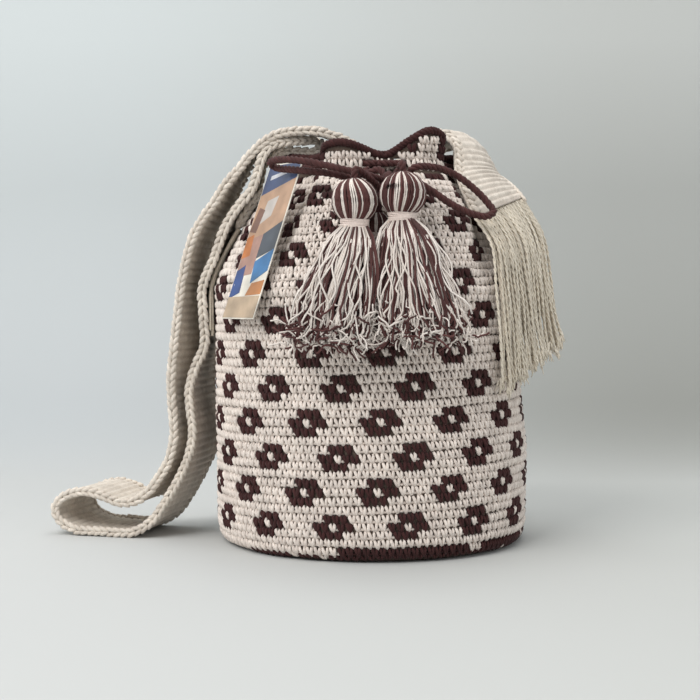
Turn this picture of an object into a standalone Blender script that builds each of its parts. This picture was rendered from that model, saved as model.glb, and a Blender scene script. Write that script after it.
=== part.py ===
"""Crocheted bucket bag with a gathered neck, drawstring, tassels, shoulder strap and hang tag.

Metres, +Z up. The origin is the centre of the flat base and the front faces -Y.
Azimuths are measured from the front, positive towards +X.
"""
import math

import bmesh
import bpy
from mathutils import Vector

# Body: one crocheted shell
BODY_RADIUS = 0.102
BODY_HEIGHT = 0.166
BASE_RADIUS = 0.093
BASE_CORNER = 0.014
WALL = 0.0035
BASE_THICKNESS = 0.004
NECK_RADIUS = 0.0555
NECK_HEIGHT = 0.245
RIM_RISE = 0.0065
EDGING = 0.0008
COURSE = 0.0054
COURSE_RELIEF = 0.0011

# Gathers
LOBES = 7
COLUMNS_PER_LOBE = 8
SHOULDER_FOLD = 0.0062
RIM_FOLD = 0.0060
FRONT_VALLEY = math.radians(5.0)
LOBE_SPREAD = math.radians(8.0)
LOBE_RISES = (0.0150, 0.0030, 0.0120, 0.0060, 0.0030, 0.0020, 0.0075)
NECK_SHIFT = 0.0035
BODY_LEAN = -0.002

# Drawstring
CORD_RADIUS = 0.00225
CORD_GAP = 0.0004
EYELET_HEIGHT = 0.0070
KNOT_RADIUS = 0.0074
CORD_STEP = 0.0055

# Strap
STRAP_WIDTH = 0.057
STRAP_THICKNESS = 0.0045
SELVEDGE = 0.004
RIB_SHARE = 0.82
STRAP_STEP = 0.0105
STRAP_TURN = math.radians(7.0)

# Fringes
FRINGE_THICKNESS = 0.0056
LEFT_FRINGE_THICKNESS = 0.0024
FRINGE_LENGTH = 0.112
FRINGE_LOCKS = 11

# Tassels
HEAD_RADIUS = 0.0133
REAR_HEAD_RADIUS = 0.0066
TASSEL_LENGTH = 0.072
TASSEL_COLUMNS = 24
SKIRT_DEPTH = 0.0085
REAR_SKIRT_DEPTH = 0.0034
SKIRT_CLEAR = 0.0028
BINDING_THICKNESS = 0.0012
BINDING_HEIGHT = 0.0045

# Hang tag
TAG_WIDTH = 0.040
TAG_LENGTH = 0.104
TAG_THICKNESS = 0.0006
TAG_AZIMUTH = math.radians(-56.0)
TAG_LEAN = math.radians(19.9)
TAG_SHIFT = 0.016

# Gap kept between pieces that touch
GAP = 0.0003

COLUMNS = LOBES * COLUMNS_PER_LOBE
EYELET_BOTTOM = NECK_HEIGHT - EYELET_HEIGHT / 2
EYELET_TOP = NECK_HEIGHT + EYELET_HEIGHT / 2
NECK_FOLD = CORD_RADIUS + WALL / 2 + CORD_GAP
RING_RADIUS = NECK_RADIUS - WALL / 2

CREAM = (0.80, 0.74, 0.67)
BROWN = (0.075, 0.030, 0.026)
STRAP_CREAM = (0.76, 0.70, 0.59)
CORD_BROWN = (0.085, 0.028, 0.025)
YARN_MIX = (0.42, 0.35, 0.32)
TAG_TAN = (0.70, 0.47, 0.28)


def clear_scene():
    for item in list(bpy.data.objects):
        bpy.data.objects.remove(item, do_unlink=True)


def yarn_material(name, colour, roughness=0.9):
    material = bpy.data.materials.new(name)
    material.use_nodes = True
    shader = material.node_tree.nodes["Principled BSDF"]
    shader.inputs["Base Color"].default_value = (*colour, 1.0)
    shader.inputs["Roughness"].default_value = roughness
    shader.inputs["Metallic"].default_value = 0.0
    return material


def smoothstep(start, end, value):
    share = min(max((value - start) / (end - start), 0.0), 1.0)
    return share * share * (3.0 - 2.0 * share)


def mix(first, second, share):
    return first + (second - first) * share


def add_object(name, mesh, *materials):
    item = bpy.data.objects.new(name, mesh)
    bpy.context.collection.objects.link(item)
    for material in materials:
        mesh.materials.append(material)
    return item


def finish_mesh(name, work, *materials, sharp=35.0):
    bmesh.ops.recalc_face_normals(work, faces=work.faces)
    mesh = bpy.data.meshes.new(name)
    work.to_mesh(mesh)
    work.free()
    mesh.shade_smooth()
    mesh.set_sharp_from_angle(angle=math.radians(sharp))
    return add_object(name, mesh, *materials)


def loft(name, rings, *materials, closed=False, sharp=35.0):
    """One closed solid through rings of equal length, capped unless the loft closes on itself."""
    work = bmesh.new()
    loops = [[work.verts.new(point) for point in ring] for ring in rings]
    pairs = list(zip(loops, loops[1:]))
    if closed:
        pairs.append((loops[-1], loops[0]))
    for first, second in pairs:
        for index in range(len(first)):
            after = (index + 1) % len(first)
            work.faces.new((first[index], first[after], second[after], second[index]))
    if not closed:
        work.faces.new(loops[0])
        work.faces.new(loops[-1])
    return finish_mesh(name, work, *materials, sharp=sharp)


def span_length(first, second):
    return math.dist(first[:3], second[:3])


def slope_at(points, index):
    """Change a metre of route at one of its points, weighted towards the nearer neighbour."""
    point = points[index]
    ways = []
    for other, sign in ((index - 1, -1.0), (index + 1, 1.0)):
        if 0 <= other < len(points):
            length = span_length(point, points[other])
            way = [sign * (there - here) / length for here, there in zip(point, points[other])]
            ways.append((way, length))
    if len(ways) == 1:
        return ways[0][0]
    (into, near), (out, far) = ways
    return [(a * far + b * near) / (near + far) for a, b in zip(into, out)]


def curve_point(points, position):
    """A point of the smooth curve through the route's points, position in whole segments."""
    index = min(int(position), len(points) - 2)
    share = position - index
    length = span_length(points[index], points[index + 1])
    square = share * share
    cube = square * share
    result = []
    for start, end, leaving, arriving in zip(points[index], points[index + 1],
                                             slope_at(points, index), slope_at(points, index + 1)):
        result.append((2 * cube - 3 * square + 1) * start + (cube - 2 * square + share) * leaving * length
                      + (3 * square - 2 * cube) * end + (cube - square) * arriving * length)
    return result


def even_route(points, spacing):
    """Points an equal distance apart, about the spacing, on the smooth curve through the route."""
    fine = [Vector(point) for point in smooth_route([tuple(point) for point in points], 12)]
    lengths = [0.0]
    for before, after in zip(fine, fine[1:]):
        lengths.append(lengths[-1] + (after - before).length)
    count = max(2, round(lengths[-1] / spacing))
    result = []
    index = 0
    for step in range(count + 1):
        target = lengths[-1] * step / count
        while index < len(lengths) - 2 and lengths[index + 1] < target:
            index += 1
        share = (target - lengths[index]) / (lengths[index + 1] - lengths[index])
        result.append(fine[index].lerp(fine[index + 1], min(max(share, 0.0), 1.0)))
    return result


def smooth_route(points, steps):
    """The route's points with more points between them, on one smooth curve."""
    count = (len(points) - 1) * steps
    return [curve_point(points, index / steps) for index in range(count + 1)]


# The wall's own form, which the pieces that lie on it follow
def wall_profile():
    """Height and mean outer radius of the wall, from the base corner to the neck."""
    shoulder = EYELET_BOTTOM - BODY_HEIGHT
    narrowing = BODY_RADIUS - NECK_RADIUS
    steps = ((0.0, 0.010), (0.11, 0.070), (0.22, 0.155), (0.33, 0.245), (0.43, 0.330),
             (0.53, 0.425), (0.62, 0.515), (0.73, 0.640), (0.84, 0.790), (0.93, 0.925), (1.0, 1.0))
    points = [(0.0, BASE_RADIUS),
              (BASE_CORNER * 0.10, mix(BASE_RADIUS, BODY_RADIUS, 0.42)),
              (BASE_CORNER * 0.42, mix(BASE_RADIUS, BODY_RADIUS, 0.80)),
              (BASE_CORNER, BODY_RADIUS),
              (BODY_HEIGHT * 0.38, BODY_RADIUS + 0.0006),
              (BODY_HEIGHT * 0.60, BODY_RADIUS - 0.0010)]
    points += [(BODY_HEIGHT + shoulder * up, BODY_RADIUS - narrowing * inward) for up, inward in steps]
    points += [(NECK_HEIGHT + RIM_RISE, NECK_RADIUS), (NECK_HEIGHT + 4 * RIM_RISE, NECK_RADIUS + 0.003)]
    return points


PROFILE = wall_profile()


def mean_radius(height):
    for (low, near), (high, far) in zip(PROFILE, PROFILE[1:]):
        if height <= high:
            return mix(near, far, (height - low) / (high - low))
    return PROFILE[-1][1]


def wall_shift(height):
    """How far the soft wall's centre stands to the side at a height."""
    lean = BODY_LEAN * smoothstep(BODY_HEIGHT * 0.36, BODY_HEIGHT * 0.6, height)
    shoulder = smoothstep(BODY_HEIGHT, mix(BODY_HEIGHT, NECK_HEIGHT, 0.6), height)
    return lean + (NECK_SHIFT - BODY_LEAN) * shoulder


def fold_depth(height):
    depth = SHOULDER_FOLD * smoothstep(BODY_HEIGHT * 0.94, mix(BODY_HEIGHT, NECK_HEIGHT, 0.62), height)
    into_neck = smoothstep(mix(BODY_HEIGHT, NECK_HEIGHT, 0.72), EYELET_BOTTOM, height)
    depth = mix(depth, NECK_FOLD, into_neck)
    return mix(depth, RIM_FOLD, smoothstep(EYELET_TOP, EYELET_TOP + 2 * RIM_RISE, height))


def fold_wave(turn):
    """-1 in a valley and 1 on a lobe, with broad tops; turn is 0 in the front valley."""
    return min(max(-1.6 * math.cos(LOBES * turn), -1.0), 1.0)


def azimuth_of(turn, height):
    """Lobes are a little wider at the front of the neck than at its back."""
    spread = LOBE_SPREAD * smoothstep(BODY_HEIGHT, NECK_HEIGHT, height)
    return FRONT_VALLEY + turn + spread * math.sin(turn)


def wall_point(turn, height, inset=0.0):
    radius = mean_radius(height) + fold_depth(height) * fold_wave(turn) - inset
    azimuth = azimuth_of(turn, height)
    return Vector((wall_shift(height) + radius * math.sin(azimuth), -radius * math.cos(azimuth), height))


def rim_height(turn):
    """Rim of a valley, rising to the top of each lobe."""
    lobe = int((turn % math.tau) / math.tau * LOBES)
    rise = LOBE_RISES[lobe] * 0.5 * (1.0 - math.cos(LOBES * turn))
    return EYELET_TOP + RIM_RISE * 0.5 + rise


def outside_radius(height):
    return mean_radius(height) + fold_depth(height)


def course_heights():
    """Heights of the crocheted rounds, an equal distance apart along the wall."""
    heights = []
    walked = 0.0
    height = BASE_CORNER * 0.10
    step = 0.0002
    while height < EYELET_BOTTOM - COURSE * 0.5:
        if walked <= 0.0:
            heights.append(height)
            walked += COURSE
        change = mean_radius(height + step) - mean_radius(height)
        walked -= math.hypot(step, change)
        height += step
    return heights


def inner_heights():
    """Levels of the plainer inner face, from the floor of the bag to the eyelets."""
    shoulder = [mix(BODY_HEIGHT, NECK_HEIGHT, share) for share in (0.16, 0.36, 0.56, 0.76)]
    body = [BODY_HEIGHT * share for share in (0.12, 0.40, 0.70, 0.95)]
    return [BASE_THICKNESS + BASE_CORNER * 0.4] + body + shoulder


def turn_of(column):
    return math.tau * column / COLUMNS


def ring_at(work, height, inset):
    return [work.verts.new(wall_point(turn_of(column), height, inset)) for column in range(COLUMNS)]


def rim_ring(work, share, inset):
    """A ring between the top of the eyelets and the rim."""
    loop = []
    for column in range(COLUMNS):
        turn = turn_of(column)
        height = mix(EYELET_TOP, rim_height(turn), share)
        loop.append(work.verts.new(wall_point(turn, height, inset)))
    return loop


def is_eyelet(column):
    """Two columns at each side of a lobe are open, where the cord passes through the wall."""
    place = column % COLUMNS_PER_LOBE
    quarter = COLUMNS_PER_LOBE // 4
    return abs(place - quarter + 0.5) < 1 or abs(place - 3 * quarter + 0.5) < 1


def bridge(work, lower, upper, eyelets=False, brown=None):
    for column in range(COLUMNS):
        if eyelets and is_eyelet(column):
            continue
        after = (column + 1) % COLUMNS
        face = work.faces.new((lower[column], lower[after], upper[after], upper[column]))
        if brown is not None and brown(column):
            face.material_index = 1


def line_eyelets(work, outer_pair, inner_pair):
    """Edges of the eyelets, between the outer and the inner face."""
    for column in range(COLUMNS):
        if not is_eyelet(column):
            continue
        after = (column + 1) % COLUMNS
        for outer, inner in zip(outer_pair, inner_pair):
            work.faces.new((outer[column], outer[after], inner[after], inner[column]))
        if not is_eyelet(column - 1):
            work.faces.new((outer_pair[0][column], outer_pair[1][column],
                            inner_pair[1][column], inner_pair[0][column]))
        if not is_eyelet(after):
            work.faces.new((outer_pair[0][after], outer_pair[1][after],
                            inner_pair[1][after], inner_pair[0][after]))


def motif_column(row):
    """Which columns of a round are brown: small blocks, offset from one band to the next."""
    band, step = divmod(row - 4, 4)
    columns_per_motif = COLUMNS // 14
    shift = (band % 2) * columns_per_motif // 2

    def is_brown(column):
        return row >= 4 and step < 3 and (column + shift) % columns_per_motif == 0

    return is_brown


def make_body(cream, brown):
    work = bmesh.new()
    outer = []
    for index, height in enumerate(course_heights()):
        outer.append(ring_at(work, height, COURSE_RELIEF if index % 2 else 0.0))
    outer_eyelet = [ring_at(work, EYELET_BOTTOM, 0.0), ring_at(work, EYELET_TOP, 0.0)]
    rim = [rim_ring(work, 0.45, 0.0), rim_ring(work, 0.60, -EDGING), rim_ring(work, 0.93, -EDGING),
           rim_ring(work, 1.0, WALL * 0.4), rim_ring(work, 0.93, WALL)]
    inner_eyelet = [ring_at(work, EYELET_BOTTOM, WALL), ring_at(work, EYELET_TOP, WALL)]
    inner = [ring_at(work, BASE_THICKNESS, WALL + BASE_CORNER * 0.4)]
    inner += [ring_at(work, height, WALL) for height in inner_heights()]
    foot = ring_at(work, 0.0, 0.0)
    work.faces.new(foot).material_index = 1
    bridge(work, foot, outer[0], brown=lambda column: True)
    for row, (lower, upper) in enumerate(zip(outer, outer[1:])):
        bridge(work, lower, upper, brown=motif_column(row) if row >= 2 else (lambda column: True))
    bridge(work, outer[-1], outer_eyelet[0])
    bridge(work, outer_eyelet[0], outer_eyelet[1], eyelets=True)
    line_eyelets(work, outer_eyelet, inner_eyelet)
    bridge(work, outer_eyelet[1], rim[0])
    for lower, upper in zip(rim, rim[1:]):
        bridge(work, lower, upper, brown=lambda column: True)
    bridge(work, rim[-1], inner_eyelet[1])
    bridge(work, inner_eyelet[1], inner_eyelet[0], eyelets=True)
    bridge(work, inner_eyelet[0], inner[-1])
    for upper, lower in zip(reversed(inner), list(reversed(inner))[1:]):
        bridge(work, upper, lower)
    work.faces.new(inner[0])
    return finish_mesh("bag_body", work, cream, brown, sharp=50.0)


def make_tube(name, points, material, cyclic=False):
    """A round cord along the points."""
    curve = bpy.data.curves.new(name, "CURVE")
    curve.dimensions = "3D"
    curve.bevel_depth = CORD_RADIUS
    curve.bevel_resolution = 2
    curve.resolution_u = 1
    curve.use_fill_caps = not cyclic
    spline = curve.splines.new("POLY")
    spline.points.add(len(points) - 1)
    for target, point in zip(spline.points, points):
        target.co = (*point, 1.0)
    spline.use_cyclic_u = cyclic
    item = bpy.data.objects.new(name, curve)
    bpy.context.collection.objects.link(item)
    curve.materials.append(material)
    return item


def ring_point(azimuth):
    return Vector((wall_shift(NECK_HEIGHT) + RING_RADIUS * math.sin(azimuth),
                   -RING_RADIUS * math.cos(azimuth), NECK_HEIGHT))


def make_drawstring(cord):
    """The cord's run round the neck: outside the valleys, inside the lobes, through the eyelets."""
    count = 44
    points = [ring_point(math.tau * index / count) for index in range(count)]
    return make_tube("drawstring", points, cord, cyclic=True)


KNOT = Vector((NECK_SHIFT + 0.0080, -(RING_RADIUS + 0.0195), NECK_HEIGHT - 0.0140))


def knot_port(direction, reach=0.0):
    """A point just off the knot, straight out along a direction."""
    way = Vector(direction).normalized()
    return KNOT + way * (KNOT_RADIUS + CORD_GAP + reach)


def make_knot(cord):
    """The bow's knot: two crossed wraps of cord pulled into one lump."""
    rings = []
    count = 9
    for row in range(1, count):
        polar = math.pi * row / count
        ring = []
        for step in range(16):
            angle = math.tau * step / 16
            groove = 1.0 - 0.06 * (0.5 + 0.5 * math.cos(4 * angle + 2 * polar))
            size = math.sin(polar) * groove
            way = Vector((size * math.cos(angle), size * math.sin(angle), math.cos(polar)))
            ring.append(KNOT + way * KNOT_RADIUS)
        rings.append(ring)
    return loft("bow_knot", rings, cord, sharp=60.0)


def from_neck(x, y, z):
    """A place given from the neck: sideways, outwards to the front and up."""
    return Vector((NECK_SHIFT + x, -(RING_RADIUS + y), NECK_HEIGHT + z))


def ring_join(azimuth, drop):
    """Where a cord's end stops just under the run round the neck."""
    point = ring_point(azimuth)
    return point + Vector((0.0, -1.0, -1.0)).normalized() * (2 * CORD_RADIUS + CORD_GAP + drop)


def make_cord_ends(cord):
    """Short strands from the run round the neck down into the knot."""
    for name, azimuth, port in (("drawstring_end_left", math.radians(-7.0), (-0.55, 0.45, 0.75)),
                                ("drawstring_end_right", math.radians(17.0), (0.50, 0.45, 0.78))):
        route = [ring_join(azimuth, 0.0), ring_join(azimuth, 0.004), knot_port(port, 0.004), knot_port(port)]
        make_tube(name, even_route(route, CORD_STEP), cord)


LEFT_LOOP = ((-0.0220, 0.0272, -0.0100), (-0.0340, 0.0268, -0.0080), (-0.0440, 0.0248, -0.0070),
             (-0.0530, 0.0185, -0.0055), (-0.0610, 0.0100, -0.0040), (-0.0650, 0.0065, -0.0025),
             (-0.0668, 0.0090, -0.0005), (-0.0640, 0.0140, 0.0005), (-0.0550, 0.0230, 0.0002),
             (-0.0410, 0.0310, -0.0022), (-0.0200, 0.0350, -0.0072))
RIGHT_LOOP = ((0.0220, 0.0270, -0.0055), (0.0345, 0.0215, -0.0045), (0.0480, 0.0155, -0.0085),
              (0.0600, 0.0135, -0.0170), (0.0690, 0.0145, -0.0265), (0.0720, 0.0170, -0.0315),
              (0.0680, 0.0205, -0.0345), (0.0590, 0.0240, -0.0335), (0.0460, 0.0275, -0.0280),
              (0.0320, 0.0300, -0.0190), (0.0215, 0.0310, -0.0140))


def loop_route(middle, first_port, last_port):
    points = [knot_port(first_port), knot_port(first_port, 0.004)]
    points += [from_neck(*place) for place in middle]
    points += [knot_port(last_port, 0.004), knot_port(last_port)]
    return points


def make_bow(cord):
    left = loop_route(LEFT_LOOP, (-0.95, -0.05, -0.05), (-0.75, -0.85, 0.20))
    right = loop_route(RIGHT_LOOP, (0.85, -0.15, 0.45), (0.80, -0.70, -0.25))
    make_tube("bow_loop_left", even_route(left, CORD_STEP), cord)
    make_tube("bow_loop_right", even_route(right, CORD_STEP), cord)


class Tassel:
    """Where a tassel hangs: its head, the way it leans and how wide it spreads."""

    def __init__(self, name, head, lean, spread, depth, size, drop, port):
        self.name = name
        self.head = head
        self.lean = lean
        self.spread = spread
        self.depth = depth
        self.size = size
        self.drop = drop
        self.port = port


def front_of_wall(height, stand_off):
    return -(outside_radius(height) + stand_off)


def tassel_list():
    front = front_of_wall(NECK_HEIGHT - 0.030, HEAD_RADIUS + 0.0055)
    left = Vector((-0.0100, front, NECK_HEIGHT - 0.0270))
    right = Vector((0.0186, front, NECK_HEIGHT - 0.0230))
    rear_height = NECK_HEIGHT - 0.0400
    valley = mean_radius(rear_height) - fold_depth(rear_height)
    rear = Vector((0.0044, -(valley + REAR_HEAD_RADIUS + 0.0060), rear_height))
    return (Tassel("tassel_left", left, -0.0165, 0.0255, SKIRT_DEPTH, HEAD_RADIUS, 1.0, (-0.30, -0.80, -0.55)),
            Tassel("tassel_right", right, 0.0125, 0.0290, SKIRT_DEPTH, HEAD_RADIUS, 1.03, (0.25, -0.97, 0.02)),
            Tassel("tassel_rear", rear, -0.0010, 0.0200, REAR_SKIRT_DEPTH, REAR_HEAD_RADIUS, 0.86,
                   (0.05, -0.15, -1.0)))


def tassel_axis(tassel, share):
    """A point of the tassel's axis; share runs from 0 at the head to 1 at the skirt's end."""
    drop = TASSEL_LENGTH * tassel.drop
    x = tassel.head.x + tassel.lean * share
    z = tassel.head.z - tassel.size - drop * share
    clear = tassel.depth + SKIRT_CLEAR
    if tassel.size > REAR_HEAD_RADIUS:
        clear += 2 * REAR_SKIRT_DEPTH + SKIRT_CLEAR
    wall = -(outside_radius(z) + clear)
    y = mix(tassel.head.y, min(tassel.head.y, wall), smoothstep(0.0, 0.2, share))
    return Vector((x, y, z))


def tassel_ring(centre, width, depth, flute):
    ring = []
    for step in range(TASSEL_COLUMNS):
        angle = math.tau * step / TASSEL_COLUMNS
        size = 1.0 - flute * (step % 2)
        ring.append(centre + Vector((width * size * math.cos(angle), depth * size * math.sin(angle), 0.0)))
    return ring


def make_tassel(tassel, yarn, binding, cord):
    """A yarn ball tied off by a binding, with a loose skirt below."""
    rings = []
    for polar in (0.16, 0.32, 0.5, 0.68, 0.82):
        angle = math.pi * polar
        radius = tassel.size * math.sin(angle)
        centre = tassel.head + Vector((0.0, 0.0, tassel.size * math.cos(angle)))
        rings.append(tassel_ring(centre, radius, radius, 0.05))
    neck = tassel.size * 0.50
    neck_top = tassel.head - Vector((0.0, 0.0, tassel.size * 0.92))
    neck_end = neck_top - Vector((0.0, 0.0, BINDING_HEIGHT))
    rings.append(tassel_ring(neck_top, neck, neck, 0.0))
    rings.append(tassel_ring(neck_end, neck, neck, 0.0))
    for share in (0.16, 0.4, 0.7, 1.0):
        centre = tassel_axis(tassel, share)
        centre.z = mix(neck_end.z, neck_end.z - TASSEL_LENGTH * tassel.drop, share)
        width = mix(neck * 1.25, tassel.spread, share ** 0.8)
        depth = mix(neck * 1.1, tassel.depth, smoothstep(0.0, 0.5, share))
        rings.append(tassel_ring(centre, width, depth, 0.12))
    loft(tassel.name, rings, yarn, sharp=70.0)
    make_binding(tassel.name + "_binding", neck_top, neck + GAP, binding)
    make_tassel_cord(tassel, cord)


def make_binding(name, top, inner, material):
    """A wound band round the tassel's neck."""
    sections = []
    low = top.z - BINDING_HEIGHT + GAP * 2
    for step in range(TASSEL_COLUMNS):
        angle = math.tau * step / TASSEL_COLUMNS
        way = Vector((math.cos(angle), math.sin(angle), 0.0))
        base = Vector((top.x, top.y, 0.0))
        outer = inner + BINDING_THICKNESS
        sections.append([base + way * inner + Vector((0, 0, low)),
                         base + way * outer + Vector((0, 0, mix(low, top.z, 0.2))),
                         base + way * outer + Vector((0, 0, mix(low, top.z, 0.7))),
                         base + way * inner + Vector((0, 0, mix(low, top.z, 0.9)))])
    return loft(name, sections, material, closed=True)


def make_tassel_cord(tassel, cord):
    """The drawstring's end between the knot and the tassel's head."""
    top = tassel.head + Vector((0.0, 0.0, tassel.size * math.cos(math.pi * 0.16) + CORD_GAP))
    start = knot_port(tassel.port)
    leave = knot_port(tassel.port, 0.0035)
    over = top + Vector((0.0, 0.0, 0.006))
    middle = (leave + over) / 2 + Vector((0.0, 0.0, 0.0015))
    return make_tube(tassel.name + "_cord", even_route([start, leave, middle, over, top], CORD_STEP), cord)


# Strap: near selvedge, way across the width and tilt of that way, from the left end to the right one
def on_left_wall(height, layers):
    """Sideways place of the strap where it lies on the wall's left, in layers of strap."""
    step = STRAP_THICKNESS + GAP * 2
    slope = (mean_radius(height - 0.004) - mean_radius(height + 0.004)) / 0.008
    stretch = math.hypot(1.0, slope)
    away = (GAP + STRAP_THICKNESS / 2 + step * layers) * stretch
    return wall_shift(height) - outside_radius(height) - away


def strap_left_top():
    """The sewn leg, the fold back over itself at the rim, and the run that leaves down the side."""
    points = [(on_left_wall(height, 0.15), -0.016, height, 0.0, 0.0)
              for height in (NECK_HEIGHT - 0.036, NECK_HEIGHT - 0.028, NECK_HEIGHT - 0.019, NECK_HEIGHT - 0.009)]
    edge = NECK_SHIFT - NECK_RADIUS - SHOULDER_FOLD
    fold = ((-0.0050, -0.016, 0.0030, 0.0, 0.0), (-0.0040, -0.016, 0.0093, 0.0, 0.0),
            (-0.0005, -0.016, 0.0118, 0.0, 0.0), (0.0050, -0.016, 0.0118, 0.0, 0.0),
            (0.0140, -0.015, 0.0116, 0.0, 1.5), (0.0215, -0.014, 0.0121, 0.0, 3.0),
            (0.0246, -0.014, 0.0150, 0.0, 4.0), (0.0215, -0.016, 0.0180, 0.0, 6.0),
            (0.0140, -0.020, 0.0180, 0.0, 7.0), (0.0045, -0.024, 0.0170, -1.0, 7.0),
            (-0.0060, -0.027, 0.0142, -2.0, 5.0), (-0.0122, -0.028, 0.0072, -3.0, 2.0),
            (-0.0150, -0.028, -0.0010, -3.0, 0.0))
    points += [(edge + x, y, NECK_HEIGHT + z, heading, tilt) for x, y, z, heading, tilt in fold]
    return points


def strap_inner_run():
    """Down the side over the fringe, to the floor."""
    points = [(on_left_wall(NECK_HEIGHT - drop, 1.25), -0.028, NECK_HEIGHT - drop, heading, 0.0)
              for drop, heading in ((0.014, -2.0), (0.026, -1.0), (0.038, 0.0))]
    over_fringe = LEFT_FRINGE_THICKNESS * 1.5 + GAP * 2
    points += [(on_left_wall(height, 0) - over_fringe, y, height, 0.0, 0.0)
               for height, y in ((NECK_HEIGHT - 0.058, -0.026), (BODY_HEIGHT, -0.024),
                                 (BODY_HEIGHT * 0.88, -0.022), (BODY_HEIGHT * 0.78, -0.019))]
    side = -BODY_RADIUS
    down = ((-0.0155, -0.016, 0.113, 6.0), (-0.0195, -0.015, 0.097, 10.0),
            (-0.0185, -0.015, 0.085, 11.0), (-0.0170, -0.015, 0.072, 11.0), (-0.0190, -0.015, 0.058, 11.0),
            (-0.0265, -0.015, 0.040, 11.0), (-0.0360, -0.015, 0.0240, 12.0), (-0.0440, -0.014, 0.0125, 12.0))
    return points + [(side + x, y, z, heading, 0.0) for x, y, z, heading in down]


def strap_floor_loop():
    """A teardrop loop lying on the floor."""
    side = -BODY_RADIUS
    floor = STRAP_THICKNESS / 2 + GAP
    low = ((-0.0540, -0.013, 0.0028, 13.0), (-0.0680, -0.010, 0.0, 14.0), (-0.0840, -0.006, 0.0, 15.0),
           (-0.1000, -0.002, 0.0022, 16.0), (-0.1100, 0.001, 0.0075, 16.0), (-0.1130, 0.002, 0.0135, 16.0),
           (-0.1105, 0.001, 0.0200, 16.0), (-0.1020, -0.001, 0.0255, 16.0), (-0.0910, -0.004, 0.0275, 15.0),
           (-0.0800, -0.007, 0.0255, 14.0), (-0.0700, -0.009, 0.0215, 13.0), (-0.0585, -0.011, 0.0215, 13.0),
           (-0.0485, -0.012, 0.0275, 12.0))
    return [(side + x, y, floor + z, heading, 0.0) for x, y, z, heading in low]


def strap_outer_run():
    """Back up the side, outside the first run, to the rim."""
    side = -BODY_RADIUS
    rise = ((-0.0405, -0.013, 0.040, 12.0), (-0.0340, -0.014, 0.051, 12.0), (-0.0300, -0.015, 0.066, 13.0),
            (-0.0300, -0.016, 0.083, 14.0), (-0.0312, -0.017, 0.100, 15.0), (-0.0300, -0.018, 0.118, 16.0),
            (-0.0278, -0.019, 0.136, 14.0), (-0.0255, -0.020, 0.154, 11.0), (-0.0228, -0.022, 0.172, 8.0),
            (-0.0194, -0.024, 0.186, 7.0), (-0.0153, -0.026, 0.199, 6.0), (-0.0095, -0.027, 0.210, 6.0))
    points = [(side + x, y, z, heading, 0.0) for x, y, z, heading in rise]
    edge = NECK_SHIFT - NECK_RADIUS - SHOULDER_FOLD
    over = ((-0.0432, -0.0210, 5.0, 0.0), (-0.0368, -0.0110, 2.0, 0.0), (-0.0292, -0.0020, -1.0, 0.0),
            (-0.0215, 0.0070, -3.0, 2.0), (-0.0142, 0.0145, -3.0, 5.0), (-0.0060, 0.0202, -2.0, 7.0),
            (0.0035, 0.0228, 0.0, 7.0), (0.0140, 0.0235, 0.0, 7.0), (0.0240, 0.0230, 0.0, 6.0))
    return points + [(edge + x, -0.028, NECK_HEIGHT + z, heading, tilt) for x, z, heading, tilt in over]


def strap_crossing():
    """Across the mouth, sagging into it, over the right of the rim and round the neck to the sewn end."""
    across = ((-0.0240, -0.028, 0.0200, 0.0, 4.0, 0.0), (-0.0120, -0.028, 0.0148, 0.0, 2.0, 0.0),
              (-0.0025, -0.028, 0.0085, 0.0, 0.0, 0.0), (0.0060, -0.028, 0.0035, 2.0, 0.0, 0.0),
              (0.0150, -0.028, 0.0020, 5.0, 0.0, 0.0), (0.0235, -0.027, 0.0065, 8.0, 0.0, 0.0),
              (0.0305, -0.026, 0.0140, 12.0, -1.0, 0.001), (0.0380, -0.026, 0.0205, 16.0, -2.0, 0.002),
              (0.0465, -0.028, 0.0215, 20.0, -3.0, 0.004), (0.0530, -0.033, 0.0155, 23.0, -4.0, 0.006),
              (0.0545, -0.039, 0.0065, 27.0, -3.0, 0.007), (0.0545, -0.0455, -0.0035, 31.0, 0.0, 0.007),
              (0.0565, -0.0530, -0.0135, 34.0, 6.0, 0.005), (0.0605, -0.0600, -0.0240, 36.0, 11.0, 0.003),
              (0.0650, -0.0655, -0.0345, 37.0, 15.0, 0.001))
    return [(x, y, NECK_HEIGHT + z, heading, tilt, crown) for x, y, z, heading, tilt, crown in across]


def strap_route():
    """Each station: near selvedge, heading and tilt of the way across, and how far the middle is crowned."""
    flat = strap_left_top() + strap_inner_run() + strap_floor_loop() + strap_outer_run()
    return [(*station, 0.0) for station in flat] + strap_crossing()


def across_of(heading, tilt):
    """Unit way from the near selvedge to the far one."""
    flat = math.cos(math.radians(tilt))
    return Vector((math.sin(math.radians(heading)) * flat, math.cos(math.radians(heading)) * flat,
                   math.sin(math.radians(tilt))))


def strap_section(place, along, across, rib, crown):
    """The band's outline: two thick selvedges and a ribbed web between them, crowned in the middle."""
    normal = along.cross(across).normalized()
    half = STRAP_THICKNESS / 2
    web = half * rib
    outline = ((SELVEDGE * 0.3, half), (SELVEDGE, web), (STRAP_WIDTH * 0.3, web), (STRAP_WIDTH * 0.7, web),
               (STRAP_WIDTH - SELVEDGE, web), (STRAP_WIDTH - SELVEDGE * 0.3, half))

    def on_band(far, high):
        share = far / STRAP_WIDTH
        return place + across * far + normal * (high + crown * 4.0 * share * (1.0 - share))

    top = [on_band(far, high) for far, high in outline]
    bottom = [on_band(far, -high) for far, high in reversed(outline)]
    return [place] + top + [place + across * STRAP_WIDTH] + bottom


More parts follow.
